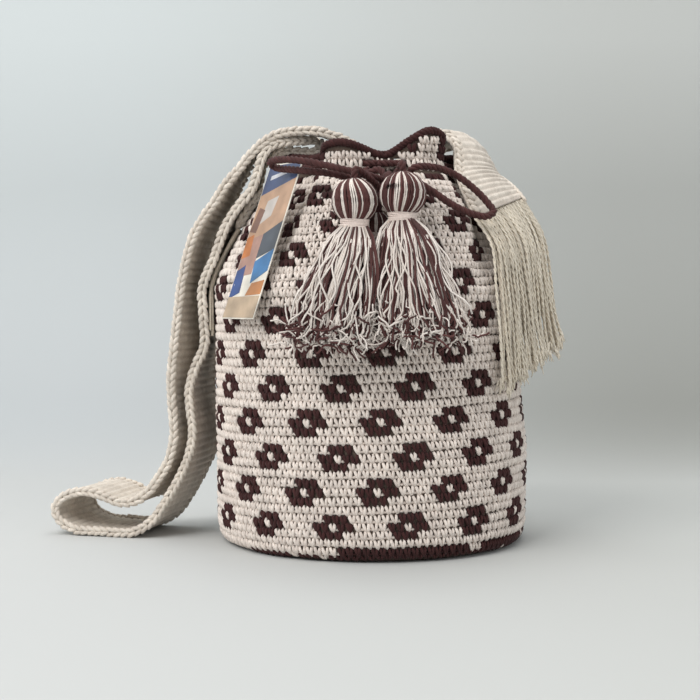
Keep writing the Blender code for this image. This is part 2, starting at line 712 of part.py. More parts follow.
def thin_route(points, turn, spacing):
    """Fewer points: one where the route has turned enough or come far enough since the last one."""
    kept = [points[0]]
    for index in range(1, len(points) - 1):
        here = Vector(points[index][:3])
        came = here - Vector(kept[-1][:3])
        leaves = Vector(points[index + 1][:3]) - here
        if came.angle(leaves) > turn or came.length > spacing:
            kept.append(points[index])
    return kept + [points[-1]]


def strap_frame(stations, index):
    """Place of the near selvedge, the strap's own direction there and its way across."""
    before = Vector(stations[max(index - 1, 0)][:3])
    after = Vector(stations[min(index + 1, len(stations) - 1)][:3])
    across = across_of(stations[index][3], stations[index][4])
    along = after - before
    along = (along - across * along.dot(across)).normalized()
    return Vector(stations[index][:3]), along, across


def make_strap(cream):
    stations = thin_route(smooth_route(strap_route(), 2), STRAP_TURN, STRAP_STEP)
    sections = []
    for index in range(len(stations)):
        place, along, across = strap_frame(stations, index)
        rib = 1.0 if index % 2 else RIB_SHARE
        sections.append(strap_section(place, along, across, rib, stations[index][5]))
    return loft("strap", sections, cream, sharp=40.0)


def fringe_section(near, far, thickness, locks, way=None):
    """Outline of a row of yarn locks between two edges, thick along a way that is level by default."""
    across = far - near
    if way is None:
        way = Vector((across.y, -across.x, 0.0)).normalized()
    count = locks * 2
    front = []
    back = []
    for step in range(count + 1):
        share = step / count
        bulge = 0.5 if step % 2 else 0.36
        if step in (0, count):
            bulge = 0.2
        front.append(near + across * share + way * thickness * bulge)
        back.append(near + across * share - way * thickness * bulge)
    return front + list(reversed(back))


def make_fringe(name, edges, thickness, material, top_way=None):
    rings = []
    for index, (near, far) in enumerate(edges):
        way = top_way if index == 0 else None
        size = mix(thickness, thickness * 1.5, index / len(edges))
        rings.append(fringe_section(near, far, size, FRINGE_LOCKS, way))
    return loft(name, rings, material, sharp=60.0)


def make_right_fringe(material):
    """Long loose ends below the strap's right end, hanging past the shoulder and flaring out."""
    route = strap_route()
    near_top, along, across = strap_frame(route, len(route) - 1)
    far_top = near_top + across * STRAP_WIDTH
    drop = along * GAP * 2
    top = (near_top + drop, far_top + drop)
    outwards = along.cross(across).normalized()
    side = BODY_RADIUS
    levels = ((-0.0260, -0.0740, 0.0190, 0.0085, -0.0130, 0.0210),
              (-0.0225, -0.0745, 0.0470, 0.0150, -0.0100, 0.0490),
              (-0.0210, -0.0735, 0.0790, 0.0200, -0.0060, 0.0740),
              (-0.0200, -0.0720, FRINGE_LENGTH, 0.0270, 0.0000, 0.0980))
    edges = [top]
    for near_x, near_y, near_down, far_x, far_y, far_down in levels:
        edges.append((Vector((side + near_x, near_y, near_top.z - near_down)),
                      Vector((side + far_x, far_y, far_top.z - far_down))))
    return make_fringe("fringe_right", edges, FRINGE_THICKNESS, material, outwards)


def make_left_fringe(material):
    """The same loose ends at the left, flat between the wall and the strap's run."""
    edges = []
    top = NECK_HEIGHT - 0.036
    for down in (0.0035, 0.020, 0.038, 0.056, 0.074):
        height = top - down
        middle = wall_shift(height) - outside_radius(height) - GAP - LEFT_FRINGE_THICKNESS * 0.75
        edges.append((Vector((middle, -0.020, height)), Vector((middle, 0.034, height))))
    return make_fringe("fringe_left", edges, LEFT_FRINGE_THICKNESS, material)


def tag_seat():
    """Distance of the tag's back from the axis, so that it just clears the wall behind it."""
    away = Vector((math.sin(TAG_AZIMUTH), -math.cos(TAG_AZIMUTH), 0.0))
    side = Vector((math.cos(TAG_AZIMUTH), math.sin(TAG_AZIMUTH), 0.0))
    farthest = 0.0
    low = NECK_HEIGHT - TAG_LENGTH * math.cos(TAG_LEAN)
    for row in range(60):
        height = mix(low, NECK_HEIGHT, row / 59)
        for column in range(COLUMNS):
            point = wall_point(turn_of(column), height)
            if abs(point.dot(side) - TAG_SHIFT) > TAG_WIDTH / 2 + 0.004:
                continue
            reach = point.dot(away) + (height - low) * math.tan(TAG_LEAN)
            farthest = max(farthest, reach)
    return away, side, low, farthest + CORD_GAP


def make_tag(material):
    """A long stiff card leaning on the shoulder, its top behind the left loop of the bow."""
    away, side, low, reach = tag_seat()
    slope = (Vector((0.0, 0.0, math.cos(TAG_LEAN))) - away * math.sin(TAG_LEAN))
    normal = (away * math.cos(TAG_LEAN) + Vector((0.0, 0.0, math.sin(TAG_LEAN))))
    foot = away * reach + side * TAG_SHIFT + Vector((0.0, 0.0, low))
    rings = []
    for lift in (0.0, TAG_THICKNESS):
        base = foot + normal * lift
        half = side * TAG_WIDTH / 2
        top = base + slope * TAG_LENGTH
        rings.append([base - half, base + half, top + half, top - half])
    return loft("hang_tag", rings, material, sharp=20.0)


def main():
    clear_scene()
    cream = yarn_material("cream_yarn", CREAM)
    brown = yarn_material("brown_yarn", BROWN)
    strap_cream = yarn_material("strap_yarn", STRAP_CREAM)
    cord = yarn_material("twisted_cord", CORD_BROWN, 0.8)
    mixed = yarn_material("tassel_yarn", YARN_MIX)
    card = yarn_material("printed_card", TAG_TAN, 0.45)
    make_body(cream, brown)
    make_drawstring(cord)
    make_knot(cord)
    make_cord_ends(cord)
    make_bow(cord)
    for tassel in tassel_list():
        make_tassel(tassel, mixed, cream, cord)
    make_strap(strap_cream)
    make_right_fringe(strap_cream)
    make_left_fringe(strap_cream)
    make_tag(card)


main()
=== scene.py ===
"""Scene of a crocheted bucket bag with a gathered neck, drawstring, tassels, strap and hang tag.

Metres, +Z up, the front faces -Y. The routes repeat the ones in the part's source.
"""
import math
from collections import namedtuple

import bpy
import numpy as np
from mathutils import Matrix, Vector


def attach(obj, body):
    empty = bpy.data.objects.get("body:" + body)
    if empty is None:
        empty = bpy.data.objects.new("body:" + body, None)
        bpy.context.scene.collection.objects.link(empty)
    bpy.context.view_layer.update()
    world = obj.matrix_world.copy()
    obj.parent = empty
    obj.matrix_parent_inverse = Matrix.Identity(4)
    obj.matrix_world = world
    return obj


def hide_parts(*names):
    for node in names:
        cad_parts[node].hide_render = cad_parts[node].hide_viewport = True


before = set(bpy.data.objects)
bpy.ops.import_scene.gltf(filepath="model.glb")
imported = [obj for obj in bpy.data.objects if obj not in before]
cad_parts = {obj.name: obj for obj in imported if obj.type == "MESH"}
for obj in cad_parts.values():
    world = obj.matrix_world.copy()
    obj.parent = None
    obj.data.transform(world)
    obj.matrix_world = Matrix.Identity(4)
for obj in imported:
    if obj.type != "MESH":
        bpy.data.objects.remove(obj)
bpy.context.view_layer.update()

rng = np.random.default_rng(7)

# The part's own sizes
BODY_RADIUS = 0.102
BODY_HEIGHT = 0.166
BASE_RADIUS = 0.093
BASE_CORNER = 0.014
WALL = 0.0035
BASE_THICKNESS = 0.004
NECK_RADIUS = 0.0555
NECK_HEIGHT = 0.245
RIM_RISE = 0.0065
LOBES = 7
COLUMNS_PER_LOBE = 16
SHOULDER_FOLD = 0.0062
RIM_FOLD = 0.0060
FRONT_VALLEY = math.radians(5.0)
LOBE_SPREAD = math.radians(8.0)
LOBE_RISES = (0.0150, 0.0030, 0.0120, 0.0060, 0.0030, 0.0020, 0.0075)
NECK_SHIFT = 0.0035
BODY_LEAN = -0.002
CORD_RADIUS = 0.00225
CORD_GAP = 0.0004
EYELET_HEIGHT = 0.0070
KNOT_RADIUS = 0.0074
STRAP_WIDTH = 0.057
STRAP_THICKNESS = 0.0045
LEFT_FRINGE_THICKNESS = 0.0024
FRINGE_THICKNESS = 0.0056
FRINGE_LENGTH = 0.112
HEAD_RADIUS = 0.0133
REAR_HEAD_RADIUS = 0.0066
TASSEL_LENGTH = 0.072
SKIRT_DEPTH = 0.0085
REAR_SKIRT_DEPTH = 0.0034
SKIRT_CLEAR = 0.0028
TAG_WIDTH = 0.040
TAG_LENGTH = 0.104
TAG_AZIMUTH = math.radians(-56.0)
TAG_SHIFT = 0.016
TAG_LEAN = math.radians(19.9)
GAP = 0.0003
EYELET_BOTTOM = NECK_HEIGHT - EYELET_HEIGHT / 2
EYELET_TOP = NECK_HEIGHT + EYELET_HEIGHT / 2
NECK_FOLD = CORD_RADIUS + WALL / 2 + CORD_GAP
RING_RADIUS = NECK_RADIUS - WALL / 2
COLUMNS = LOBES * COLUMNS_PER_LOBE

# Stitches
ROW = 0.00525
FIRST_ROW = 0.0018
FOOT_ROW = 0.0037
MOTIFS = 14
STITCHES_PER_MOTIF = 9
ROW_DRIFT = 0.33
MOTIF_DRIFT = 0.32
OTHER_BAND = 5.5
NARROWEST_STITCH = 0.0046
ROW_TILT = 0.0026
SEAM = math.radians(-13.0)
BARE_FROM = math.radians(-115.0)
BARE_TO = math.radians(-49.0)


def smoothstep(start, end, value):
    share = min(max((value - start) / (end - start), 0.0), 1.0)
    return share * share * (3.0 - 2.0 * share)


def mix(first, second, share):
    return first + (second - first) * share


# Camera
FOCAL_PIXELS = 1390.0
FRAME_PIXELS = 700.0
CAMERA_DISTANCE = 0.9327
CAMERA_HEIGHT = 0.159
HORIZON_RISE = 50.0
AXIS_OFFSET = 21.4


def make_camera():
    data = bpy.data.cameras.new("camera")
    data.sensor_width = 36.0
    data.lens = FOCAL_PIXELS / FRAME_PIXELS * data.sensor_width
    data.clip_start = 0.01
    camera = bpy.data.objects.new("camera", data)
    bpy.context.scene.collection.objects.link(camera)
    camera.location = (0.0, -CAMERA_DISTANCE, CAMERA_HEIGHT)
    pitch = math.atan(HORIZON_RISE / FOCAL_PIXELS)
    yaw = math.atan(AXIS_OFFSET / FOCAL_PIXELS)
    look = Vector((-math.sin(yaw) * math.cos(pitch), math.cos(yaw) * math.cos(pitch), -math.sin(pitch)))
    camera.rotation_euler = look.to_track_quat("-Z", "Y").to_euler()
    bpy.context.scene.camera = camera


make_camera()


# Smooth routes, as in the part's source
def lengths_along(route):
    """Length walked to each point of a route."""
    return np.concatenate([[0.0], np.cumsum(np.linalg.norm(np.diff(np.array(route)[:, :3], axis=0), axis=1))])


def span(points, index):
    """Distance from a point of a route to the next one."""
    return math.dist(points[index][:3], points[index + 1][:3])


def slope_at(points, index):
    """Slope of the smooth curve at a point, from the spans beside it, the shorter one counting more."""
    slopes = [(points[start + 1] - points[start]) / span(points, start)
              for start in (index - 1, index) if 0 <= start < len(points) - 1]
    if len(slopes) == 1:
        return slopes[0]
    near, far = span(points, index - 1), span(points, index)
    return (slopes[0] * far + slopes[1] * near) / (near + far)


def curve_point(points, position):
    index = min(int(position), len(points) - 2)
    share = position - index
    length = span(points, index)
    square, cube = share ** 2, share ** 3
    return ((2 * cube - 3 * square + 1) * points[index]
            + (cube - 2 * square + share) * length * slope_at(points, index)
            + (3 * square - 2 * cube) * points[index + 1]
            + (cube - square) * length * slope_at(points, index + 1))


def even_route(points, spacing, steps=12):
    """Rows of numbers an equal distance apart on the smooth curve through the route."""
    points = np.array([tuple(point) for point in points])
    fine = np.array([curve_point(points, index / steps) for index in range((len(points) - 1) * steps + 1)])
    lengths = lengths_along(fine)
    targets = np.linspace(0.0, lengths[-1], max(2, round(lengths[-1] / spacing)) + 1)
    return np.stack([np.interp(targets, lengths, fine[:, column]) for column in range(fine.shape[1])], axis=1)


# The wall's form
def wall_profile():
    shoulder = EYELET_BOTTOM - BODY_HEIGHT
    narrowing = BODY_RADIUS - NECK_RADIUS
    steps = ((0.0, 0.010), (0.11, 0.070), (0.22, 0.155), (0.33, 0.245), (0.43, 0.330),
             (0.53, 0.425), (0.62, 0.515), (0.73, 0.640), (0.84, 0.790), (0.93, 0.925), (1.0, 1.0))
    points = [(0.0, BASE_RADIUS),
              (BASE_CORNER * 0.10, mix(BASE_RADIUS, BODY_RADIUS, 0.42)),
              (BASE_CORNER * 0.42, mix(BASE_RADIUS, BODY_RADIUS, 0.80)),
              (BASE_CORNER, BODY_RADIUS),
              (BODY_HEIGHT * 0.38, BODY_RADIUS + 0.0006),
              (BODY_HEIGHT * 0.60, BODY_RADIUS - 0.0010)]
    points += [(BODY_HEIGHT + shoulder * up, BODY_RADIUS - narrowing * inward) for up, inward in steps]
    points += [(NECK_HEIGHT + RIM_RISE, NECK_RADIUS), (NECK_HEIGHT + 4 * RIM_RISE, NECK_RADIUS + 0.003)]
    return points


PROFILE = wall_profile()


def mean_radius(height):
    return float(np.interp(height, [point[0] for point in PROFILE], [point[1] for point in PROFILE]))


def wall_shift(height):
    lean = BODY_LEAN * smoothstep(BODY_HEIGHT * 0.36, BODY_HEIGHT * 0.6, height)
    shoulder = smoothstep(BODY_HEIGHT, mix(BODY_HEIGHT, NECK_HEIGHT, 0.6), height)
    return lean + (NECK_SHIFT - BODY_LEAN) * shoulder


def fold_depth(height):
    depth = SHOULDER_FOLD * smoothstep(BODY_HEIGHT * 0.94, mix(BODY_HEIGHT, NECK_HEIGHT, 0.62), height)
    into_neck = smoothstep(mix(BODY_HEIGHT, NECK_HEIGHT, 0.72), EYELET_BOTTOM, height)
    depth = mix(depth, NECK_FOLD, into_neck)
    return mix(depth, RIM_FOLD, smoothstep(EYELET_TOP, EYELET_TOP + 2 * RIM_RISE, height))


def fold_wave(turn):
    return min(max(-1.6 * math.cos(LOBES * turn), -1.0), 1.0)


def azimuth_of(turn, height):
    spread = LOBE_SPREAD * smoothstep(BODY_HEIGHT, NECK_HEIGHT, height)
    return FRONT_VALLEY + turn + spread * math.sin(turn)


def wall_point(turn, height, inset=0.0):
    radius = mean_radius(height) + fold_depth(height) * fold_wave(turn) - inset
    azimuth = azimuth_of(turn, height)
    return np.array((wall_shift(height) + radius * math.sin(azimuth), -radius * math.cos(azimuth), height))


def rim_height(turn):
    lobe = int((turn % math.tau) / math.tau * LOBES)
    rise = LOBE_RISES[lobe] * 0.5 * (1.0 - math.cos(LOBES * turn))
    return EYELET_TOP + RIM_RISE * 0.5 + rise


def outside_radius(height):
    return mean_radius(height) + fold_depth(height)


def eyelet_at(turn):
    """True where the wall is open for the drawstring, at each side of a lobe."""
    place = (turn / math.tau * LOBES) % 1.0
    return 0.115 < place < 0.26 or 0.74 < place < 0.885


# Materials: an input is a plain value, or a node and its output to link from
def fill(node, **inputs):
    for name, value in inputs.items():
        put_input(node, name.replace("_", " "), value)


def put_input(node, socket, value):
    if isinstance(value, tuple) and isinstance(value[0], bpy.types.Node):
        node.id_data.links.new(value[0].outputs[value[1]], node.inputs[socket])
    else:
        node.inputs[socket].default_value = value


def new_material(name, **values):
    """A material, its node tree and its shader with the named values."""
    material = bpy.data.materials.new(name)
    material.use_nodes = True
    shader = material.node_tree.nodes["Principled BSDF"]
    fill(shader, **values)
    return material, material.node_tree, shader


def shade(tree, kind, **inputs):
    node = tree.nodes.new("ShaderNode" + kind)
    fill(node, **inputs)
    return node


def colour_mix(tree, first, second, factor, mode="MIX"):
    """Two colours mixed: its colour sockets are 6 and 7, and its colour output is 2."""
    node = shade(tree, "Mix")
    node.data_type = "RGBA"
    node.blend_type = mode
    put_input(node, "Factor", factor)
    put_input(node, 6, first)
    put_input(node, 7, second)
    return node, 2


def colour_ramp(tree, source, *stops):
    node = shade(tree, "ValToRGB", Fac=source)
    for element, (place, colour) in zip(node.color_ramp.elements, stops):
        element.position = place
        element.color = (*colour, 1.0)
    return node, "Color"


def yarn_material(name, colour, dark_tone_and_shade, roughness=0.9, bump=0.35, sheen=0.25):
    """Spun yarn: each strand's own tone, cloudy dye and fine fibres; the tone also carries painted shade
    where a piece sets it lower for shade.
    """
    material, tree, shader = new_material(name, Roughness=roughness, Sheen_Weight=sheen, Sheen_Roughness=0.6,
                                          Specular_IOR_Level=0.25)
    place = shade(tree, "TexCoord"), "Object"
    tone = shade(tree, "Attribute")
    tone.attribute_name = "tone"
    cloud = shade(tree, "TexNoise", Vector=place, Scale=110.0, Detail=3.0)
    fibres = shade(tree, "TexNoise", Vector=place, Scale=900.0, Detail=4.0, Roughness=0.7)
    strand_tone = shade(tree, "MapRange", Value=(tone, "Fac"), To_Min=0.25)
    strand = colour_mix(tree, (*dark_tone_and_shade, 1.0), (*colour, 1.0), (strand_tone, "Result"))
    ramp = colour_ramp(tree, (fibres, "Fac"), (0.30, (0.62, 0.60, 0.58)), (0.62, (1.0, 1.0, 1.0)))
    fibrous = colour_mix(tree, strand, ramp, 0.55, "MULTIPLY")
    dye = shade(tree, "MapRange", Value=(cloud, "Fac"), From_Min=0.3, From_Max=0.7, To_Min=0.9, To_Max=1.08)
    dyed = shade(tree, "HueSaturation", Color=fibrous, Value=(dye, "Result"))
    lift = shade(tree, "Bump", Height=(fibres, "Fac"), Strength=bump, Distance=0.0004)
    fill(shader, Base_Color=(dyed, "Color"), Normal=(lift, "Normal"))
    return material


CREAM = yarn_material("cream_yarn", (0.92, 0.83, 0.76), (0.57, 0.48, 0.43), sheen=0.12)
BROWN = yarn_material("brown_yarn", (0.064, 0.021, 0.020), (0.022, 0.008, 0.008), bump=0.45, sheen=0.04)
STRAP = yarn_material("strap_yarn", (0.84, 0.765, 0.675), (0.53, 0.455, 0.38), bump=0.45, sheen=0.12)
CORD = yarn_material("cord_yarn", (0.088, 0.029, 0.027), (0.026, 0.009, 0.008),
                     roughness=0.75, bump=0.5, sheen=0.06)
THREAD = yarn_material("tassel_cream", (0.90, 0.83, 0.77), (0.62, 0.53, 0.47), sheen=0.12)
WINE = yarn_material("tassel_brown", (0.125, 0.048, 0.044), (0.028, 0.010, 0.009), sheen=0.06)
BINDING = yarn_material("binding_yarn", (0.86, 0.74, 0.68), (0.58, 0.46, 0.42), sheen=0.12)
# The inner wall's dark colour is painted shade, for the gaps between stitches and the bag's inside.
PAINTED_SHADE_BACKING = yarn_material("inner_wall", (0.150, 0.112, 0.090), (0.060, 0.042, 0.034), bump=0.6, sheen=0.0)
FRINGE = yarn_material("fringe_yarn", (0.94, 0.86, 0.73), (0.60, 0.52, 0.41), sheen=0.08)


# Meshes
def mesh_object(name, points, faces, material, tones=None, smooth=True, node=None):
    mesh = bpy.data.meshes.new(name)
    mesh.from_pydata([tuple(point) for point in points], [], [tuple(face) for face in faces])
    mesh.materials.append(material)
    if smooth:
        mesh.shade_smooth()
    if tones is not None:
        layer = mesh.attributes.new("tone", "FLOAT", "POINT")
        layer.data.foreach_set("value", np.asarray(tones, np.float32))
    item = bpy.data.objects.new(name, mesh)
    bpy.context.scene.collection.objects.link(item)
    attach(item, "root")
    if node:
        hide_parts(node)
    return item


def ring_faces(rows, width):
    """Faces of a closed skin over rows of points, each row a ring, with its two ends capped."""
    faces = [(row * width + column, row * width + (column + 1) % width,
              (row + 1) * width + (column + 1) % width, (row + 1) * width + column)
             for row in range(rows - 1) for column in range(width)]
    return faces + [tuple(range(width - 1, -1, -1)), tuple(range((rows - 1) * width, rows * width))]


def unit(vectors):
    return vectors / (np.linalg.norm(vectors, axis=-1, keepdims=True) + 1e-12)


def tube_object(name, paths, radii, sides, helper, material, tones, node=None):
    """Closed tubes as one piece; paths is tubes x points x 3 and helper a way across them."""
    paths = np.asarray(paths, float)
    count, length, _ = paths.shape
    radii = np.broadcast_to(np.asarray(radii, float), (count, length))
    tangents = unit(np.gradient(paths, axis=1))
    across = unit(np.cross(tangents, np.broadcast_to(np.asarray(helper, float), paths.shape)))
    up = np.cross(across, tangents)
    angles = np.arange(sides)[:, None] * math.tau / sides
    ring = across[:, :, None, :] * np.cos(angles) + up[:, :, None, :] * np.sin(angles)
    points = (paths[:, :, None, :] + ring * radii[:, :, None, None]).reshape(-1, 3)
    skin = ring_faces(length, sides)
    starts = (np.arange(count) * length * sides)[:, None, None]
    quads = (starts + np.array(skin[:-2])).reshape(-1, 4)
    caps = (starts + np.array(skin[-2:])).reshape(-1, sides)
    return mesh_object(name, points, quads.tolist() + caps.tolist(), material,
                       np.repeat(np.asarray(tones), length * sides), node=node)


def carried_frames(points):
    """Ways across and up along one route, carried without twist."""
    tangents = unit(np.gradient(points, axis=0))
    across = np.zeros_like(points)
    way = np.cross(tangents[0], (0.31, 0.17, 0.94))
    for index, tangent in enumerate(tangents):
        way = way - tangent * way.dot(tangent)
        way = way / np.linalg.norm(way)
        across[index] = way
    return tangents, across, np.cross(tangents, across)


TWIST_PITCH = 0.0105
FREE_CORD_LENGTH = 0.030
EDGING_RADIUS = 0.0026
EDGING_PITCH = 0.0080
EDGING_DROP = 0.0010


def twisted_cord(name, route, material, node=None, radius=CORD_RADIUS, closed=False,
                 pitch=TWIST_PITCH):
    """Three strands laid round a route of points."""
    _, across, up = carried_frames(route)
    lengths = lengths_along(route)
    turns = max(1, round(lengths[-1] / pitch)) if closed else lengths[-1] / pitch
    paths = []
    for strand in range(3):
        angle = math.tau * (lengths / lengths[-1] * turns + strand / 3)[:, None]
        paths.append(route + radius * 0.50 * (across * np.cos(angle) + up * np.sin(angle)))
    return tube_object(name, paths, radius * 0.56, 7, np.stack([up] * 3), material, (0.75, 0.55, 0.9),
                       node)


# Cords first: their routes are the source's routes
KNOT = Vector((NECK_SHIFT + 0.0080, -(RING_RADIUS + 0.0195), NECK_HEIGHT - 0.0140))


def knot_port(direction, reach=0.0):
    return KNOT + Vector(direction).normalized() * (KNOT_RADIUS + CORD_GAP + reach)


def from_neck(x, y, z):
    return Vector((NECK_SHIFT + x, -(RING_RADIUS + y), NECK_HEIGHT + z))


def ring_point(azimuth):
    return Vector((wall_shift(NECK_HEIGHT) + RING_RADIUS * math.sin(azimuth),
                   -RING_RADIUS * math.cos(azimuth), NECK_HEIGHT))


def ring_join(azimuth, drop):
    return ring_point(azimuth) + Vector((0.0, -1.0, -1.0)).normalized() * (2 * CORD_RADIUS + CORD_GAP + drop)


LEFT_LOOP = ((-0.0220, 0.0272, -0.0100), (-0.0340, 0.0268, -0.0080), (-0.0440, 0.0248, -0.0070),
             (-0.0530, 0.0185, -0.0055), (-0.0610, 0.0100, -0.0040), (-0.0650, 0.0065, -0.0025),
             (-0.0668, 0.0090, -0.0005), (-0.0640, 0.0140, 0.0005), (-0.0550, 0.0230, 0.0002),
             (-0.0410, 0.0310, -0.0022), (-0.0200, 0.0350, -0.0072))
RIGHT_LOOP = ((0.0220, 0.0270, -0.0055), (0.0345, 0.0215, -0.0045), (0.0480, 0.0155, -0.0085),
              (0.0600, 0.0135, -0.0170), (0.0690, 0.0145, -0.0265), (0.0720, 0.0170, -0.0315),
              (0.0680, 0.0205, -0.0345), (0.0590, 0.0240, -0.0335), (0.0460, 0.0275, -0.0280),
              (0.0320, 0.0300, -0.0190), (0.0215, 0.0310, -0.0140))


def loop_route(middle, first_port, last_port):
    points = [knot_port(first_port), knot_port(first_port, 0.004)]
    points += [from_neck(*place) for place in middle]
    return points + [knot_port(last_port, 0.004), knot_port(last_port)]


Tassel = namedtuple("Tassel", "name head lean spread depth size drop port")


def front_of_wall(height, stand_off):
    return -(outside_radius(height) + stand_off)


def tassel_list():
    front = front_of_wall(NECK_HEIGHT - 0.030, HEAD_RADIUS + 0.0055)
    left = Vector((-0.0100, front, NECK_HEIGHT - 0.0270))
    right = Vector((0.0186, front, NECK_HEIGHT - 0.0230))
    rear_height = NECK_HEIGHT - 0.0400
    valley = mean_radius(rear_height) - fold_depth(rear_height)
    rear = Vector((0.0044, -(valley + REAR_HEAD_RADIUS + 0.0060), rear_height))
    return (Tassel("tassel_left", left, -0.0165, 0.0255, SKIRT_DEPTH, HEAD_RADIUS, 1.0,
                   (-0.30, -0.80, -0.55)),
            Tassel("tassel_right", right, 0.0125, 0.0290, SKIRT_DEPTH, HEAD_RADIUS, 1.03,
                   (0.25, -0.97, 0.02)),
            Tassel("tassel_rear", rear, -0.0010, 0.0200, REAR_SKIRT_DEPTH, REAR_HEAD_RADIUS, 0.86,
                   (0.05, -0.15, -1.0)))


def tassel_axis(tassel, share):
    drop = TASSEL_LENGTH * tassel.drop
    x = tassel.head.x + tassel.lean * share
    z = tassel.head.z - tassel.size - drop * share
    clear = tassel.depth + SKIRT_CLEAR
    if tassel.size > REAR_HEAD_RADIUS:
        clear += 2 * REAR_SKIRT_DEPTH + SKIRT_CLEAR
    wall = -(outside_radius(z) + clear)
    y = mix(tassel.head.y, min(tassel.head.y, wall), smoothstep(0.0, 0.2, share))
    return np.array((x, y, z))


def tassel_cord_route(tassel):
    top = tassel.head + Vector((0.0, 0.0, tassel.size * math.cos(math.pi * 0.16) + CORD_GAP))
    start = knot_port(tassel.port)
    leave = knot_port(tassel.port, 0.0035)
    over = top + Vector((0.0, 0.0, 0.006))
    middle = (leave + over) / 2 + Vector((0.0, 0.0, 0.0015))
    return [start, leave, middle, over, top]


def make_cords():
    """The bow, its knot, the run round the neck and the cords to the tassels."""
    ring = np.array([ring_point(angle) for angle in np.linspace(0.0, math.tau, 281)])
    twisted_cord("neck_cord", ring, CORD, "drawstring", closed=True)

    def lay(name, points, far_end=None):
        """One cord on its smooth route; it is returned in a list unless it has a far end and is longer than
        FREE_CORD_LENGTH.
        """
        route = even_route(points, 0.0012)
        item = twisted_cord(name + "_yarn", route, CORD, name)
        length = lengths_along(route)[-1]
        if not far_end or length <= FREE_CORD_LENGTH:
            return [item]
        return []

    pieces = []
    for name, azimuth, port in (("drawstring_end_left", math.radians(-7.0), (-0.55, 0.45, 0.75)),
                                ("drawstring_end_right", math.radians(17.0), (0.50, 0.45, 0.78))):
        pieces += lay(name, [ring_join(azimuth, 0.0), ring_join(azimuth, 0.004), knot_port(port, 0.004),
                             knot_port(port, -0.003)])
    pieces.append(make_knot())
    for tassel in tassel_list():
        pieces += lay(tassel.name + "_cord", tassel_cord_route(tassel), "knot")
    lay("bow_loop_left", loop_route(LEFT_LOOP, (-0.95, -0.05, -0.05), (-0.75, -0.85, 0.20)), "object")
    lay("bow_loop_right", loop_route(RIGHT_LOOP, (0.85, -0.15, 0.45), (0.80, -0.70, -0.25)), "object")


def make_knot():
    """Wraps of the cord round each other, pulled into one lump."""
    paths = []
    helpers = []
    angle = np.linspace(0.0, math.tau, 25)[:, None]
    for tilt, turn, offset in ((0.25, 0.0, -0.0022), (0.35, 0.5, 0.0022),
                               (1.45, 0.9, 0.0), (-0.7, 0.2, 0.001)):
        first = unit(np.array((math.sin(turn) * 0.3, 1.0, 0.0)))
        second = np.array((math.sin(tilt), 0.0, math.cos(tilt)))
        out = np.cross(first, second)
        reach = (KNOT_RADIUS - CORD_RADIUS * 0.95) * (first * np.cos(angle) + second * np.sin(angle))
        paths.append(np.array(KNOT) + out * offset + reach)
        helpers.append(np.broadcast_to(out, reach.shape))
    return tube_object("bow_knot_yarn", paths, CORD_RADIUS * 0.95, 8, np.stack(helpers), CORD,
                       (0.6, 0.8, 0.7, 0.5), "bow_knot")


make_cords()


# Body: a shell, dark as painted shade, with crocheted stitches on it
SHELL_INSET = 0.0013


def make_shell():
    """The wall behind the stitches, open at the eyelets; its dark colour is painted shade for the gaps
    between stitches and the bag's inside.
    """
    turns = [math.tau * column / COLUMNS for column in range(COLUMNS)]

    def ring(height, inset, up=0.0):
        """Points round the wall; up is the share of the way from the height to the rim."""
        return [wall_point(turn, mix(height, rim_height(turn) - 0.0012, up), inset) for turn in turns]

    heights = [0.0] + [BASE_CORNER * share for share in (0.1, 0.42, 1.0)]
    rings = [ring(height, SHELL_INSET) for height in heights + list(np.linspace(0.022, EYELET_BOTTOM, 30))]
    open_from = len(rings) - 1
    rings += [ring(EYELET_TOP, SHELL_INSET, up) for up in (0.0, 0.5, 1.0)] + [ring(EYELET_TOP, WALL, 1.0)]
    inner_open = len(rings)
    rings.append(ring(EYELET_TOP, WALL))
    rings += [ring(height, WALL + (0.006 if height <= BASE_THICKNESS else 0.0))
              for height in np.linspace(EYELET_BOTTOM, BASE_THICKNESS, 16)]
    points = [point for row in rings for point in row]
    open_at = [eyelet_at(math.tau * (column + 0.5) / COLUMNS) for column in range(COLUMNS)]
    faces = [face for place, face in enumerate(ring_faces(len(rings), COLUMNS))
             if place // COLUMNS not in (open_from, inner_open) or not open_at[place % COLUMNS]]
    outer_low, outer_high = open_from * COLUMNS, (open_from + 1) * COLUMNS
    inner_high, inner_low = inner_open * COLUMNS, (inner_open + 1) * COLUMNS
    for here, opened in enumerate(open_at):
        after = (here + 1) % COLUMNS
        if opened:
            faces.append((outer_low + here, outer_low + after, inner_low + after, inner_low + here))
            faces.append((outer_high + after, outer_high + here, inner_high + here, inner_high + after))
        if opened != open_at[here - 1]:
            faces.append((outer_low + here, outer_high + here, inner_high + here, inner_low + here))
    tones = rng.uniform(0.3, 0.7, len(points))
    mesh_object("body_shell", points, faces, PAINTED_SHADE_BACKING, tones, node="bag_body")


make_shell()


def wall_rows():
    """Heights of the stitch rows: even on the wall, then even along the shoulder."""
    rows = [FIRST_ROW + ROW * index for index in range(int((BODY_HEIGHT - FIRST_ROW) / ROW) + 1)]
    height = rows[-1]
    walked = 0.0
    step = 0.0001
    while height < EYELET_BOTTOM - ROW * 0.4:
        height += step
        walked += math.hypot(step, mean_radius(height + step) - mean_radius(height))
        if walked >= ROW:
            rows.append(height)
            walked = 0.0
    return rows


def stitches_in_row(height):
    """Stitches for each motif width: fewer where the wall is gathered."""
    points = np.array([wall_point(turn, height) for turn in np.linspace(0.0, math.tau, 253)])
    return max(5, min(STITCHES_PER_MOTIF, round(lengths_along(points)[-1] / MOTIFS / NARROWEST_STITCH)))


def turn_for(azimuth, height):
    """The turn whose azimuth at a height is the one asked."""
    turn = azimuth - FRONT_VALLEY
    for _ in range(5):
        turn -= azimuth_of(turn, height) - azimuth
    return turn


FIRST_MOTIF = math.radians(-13.2)


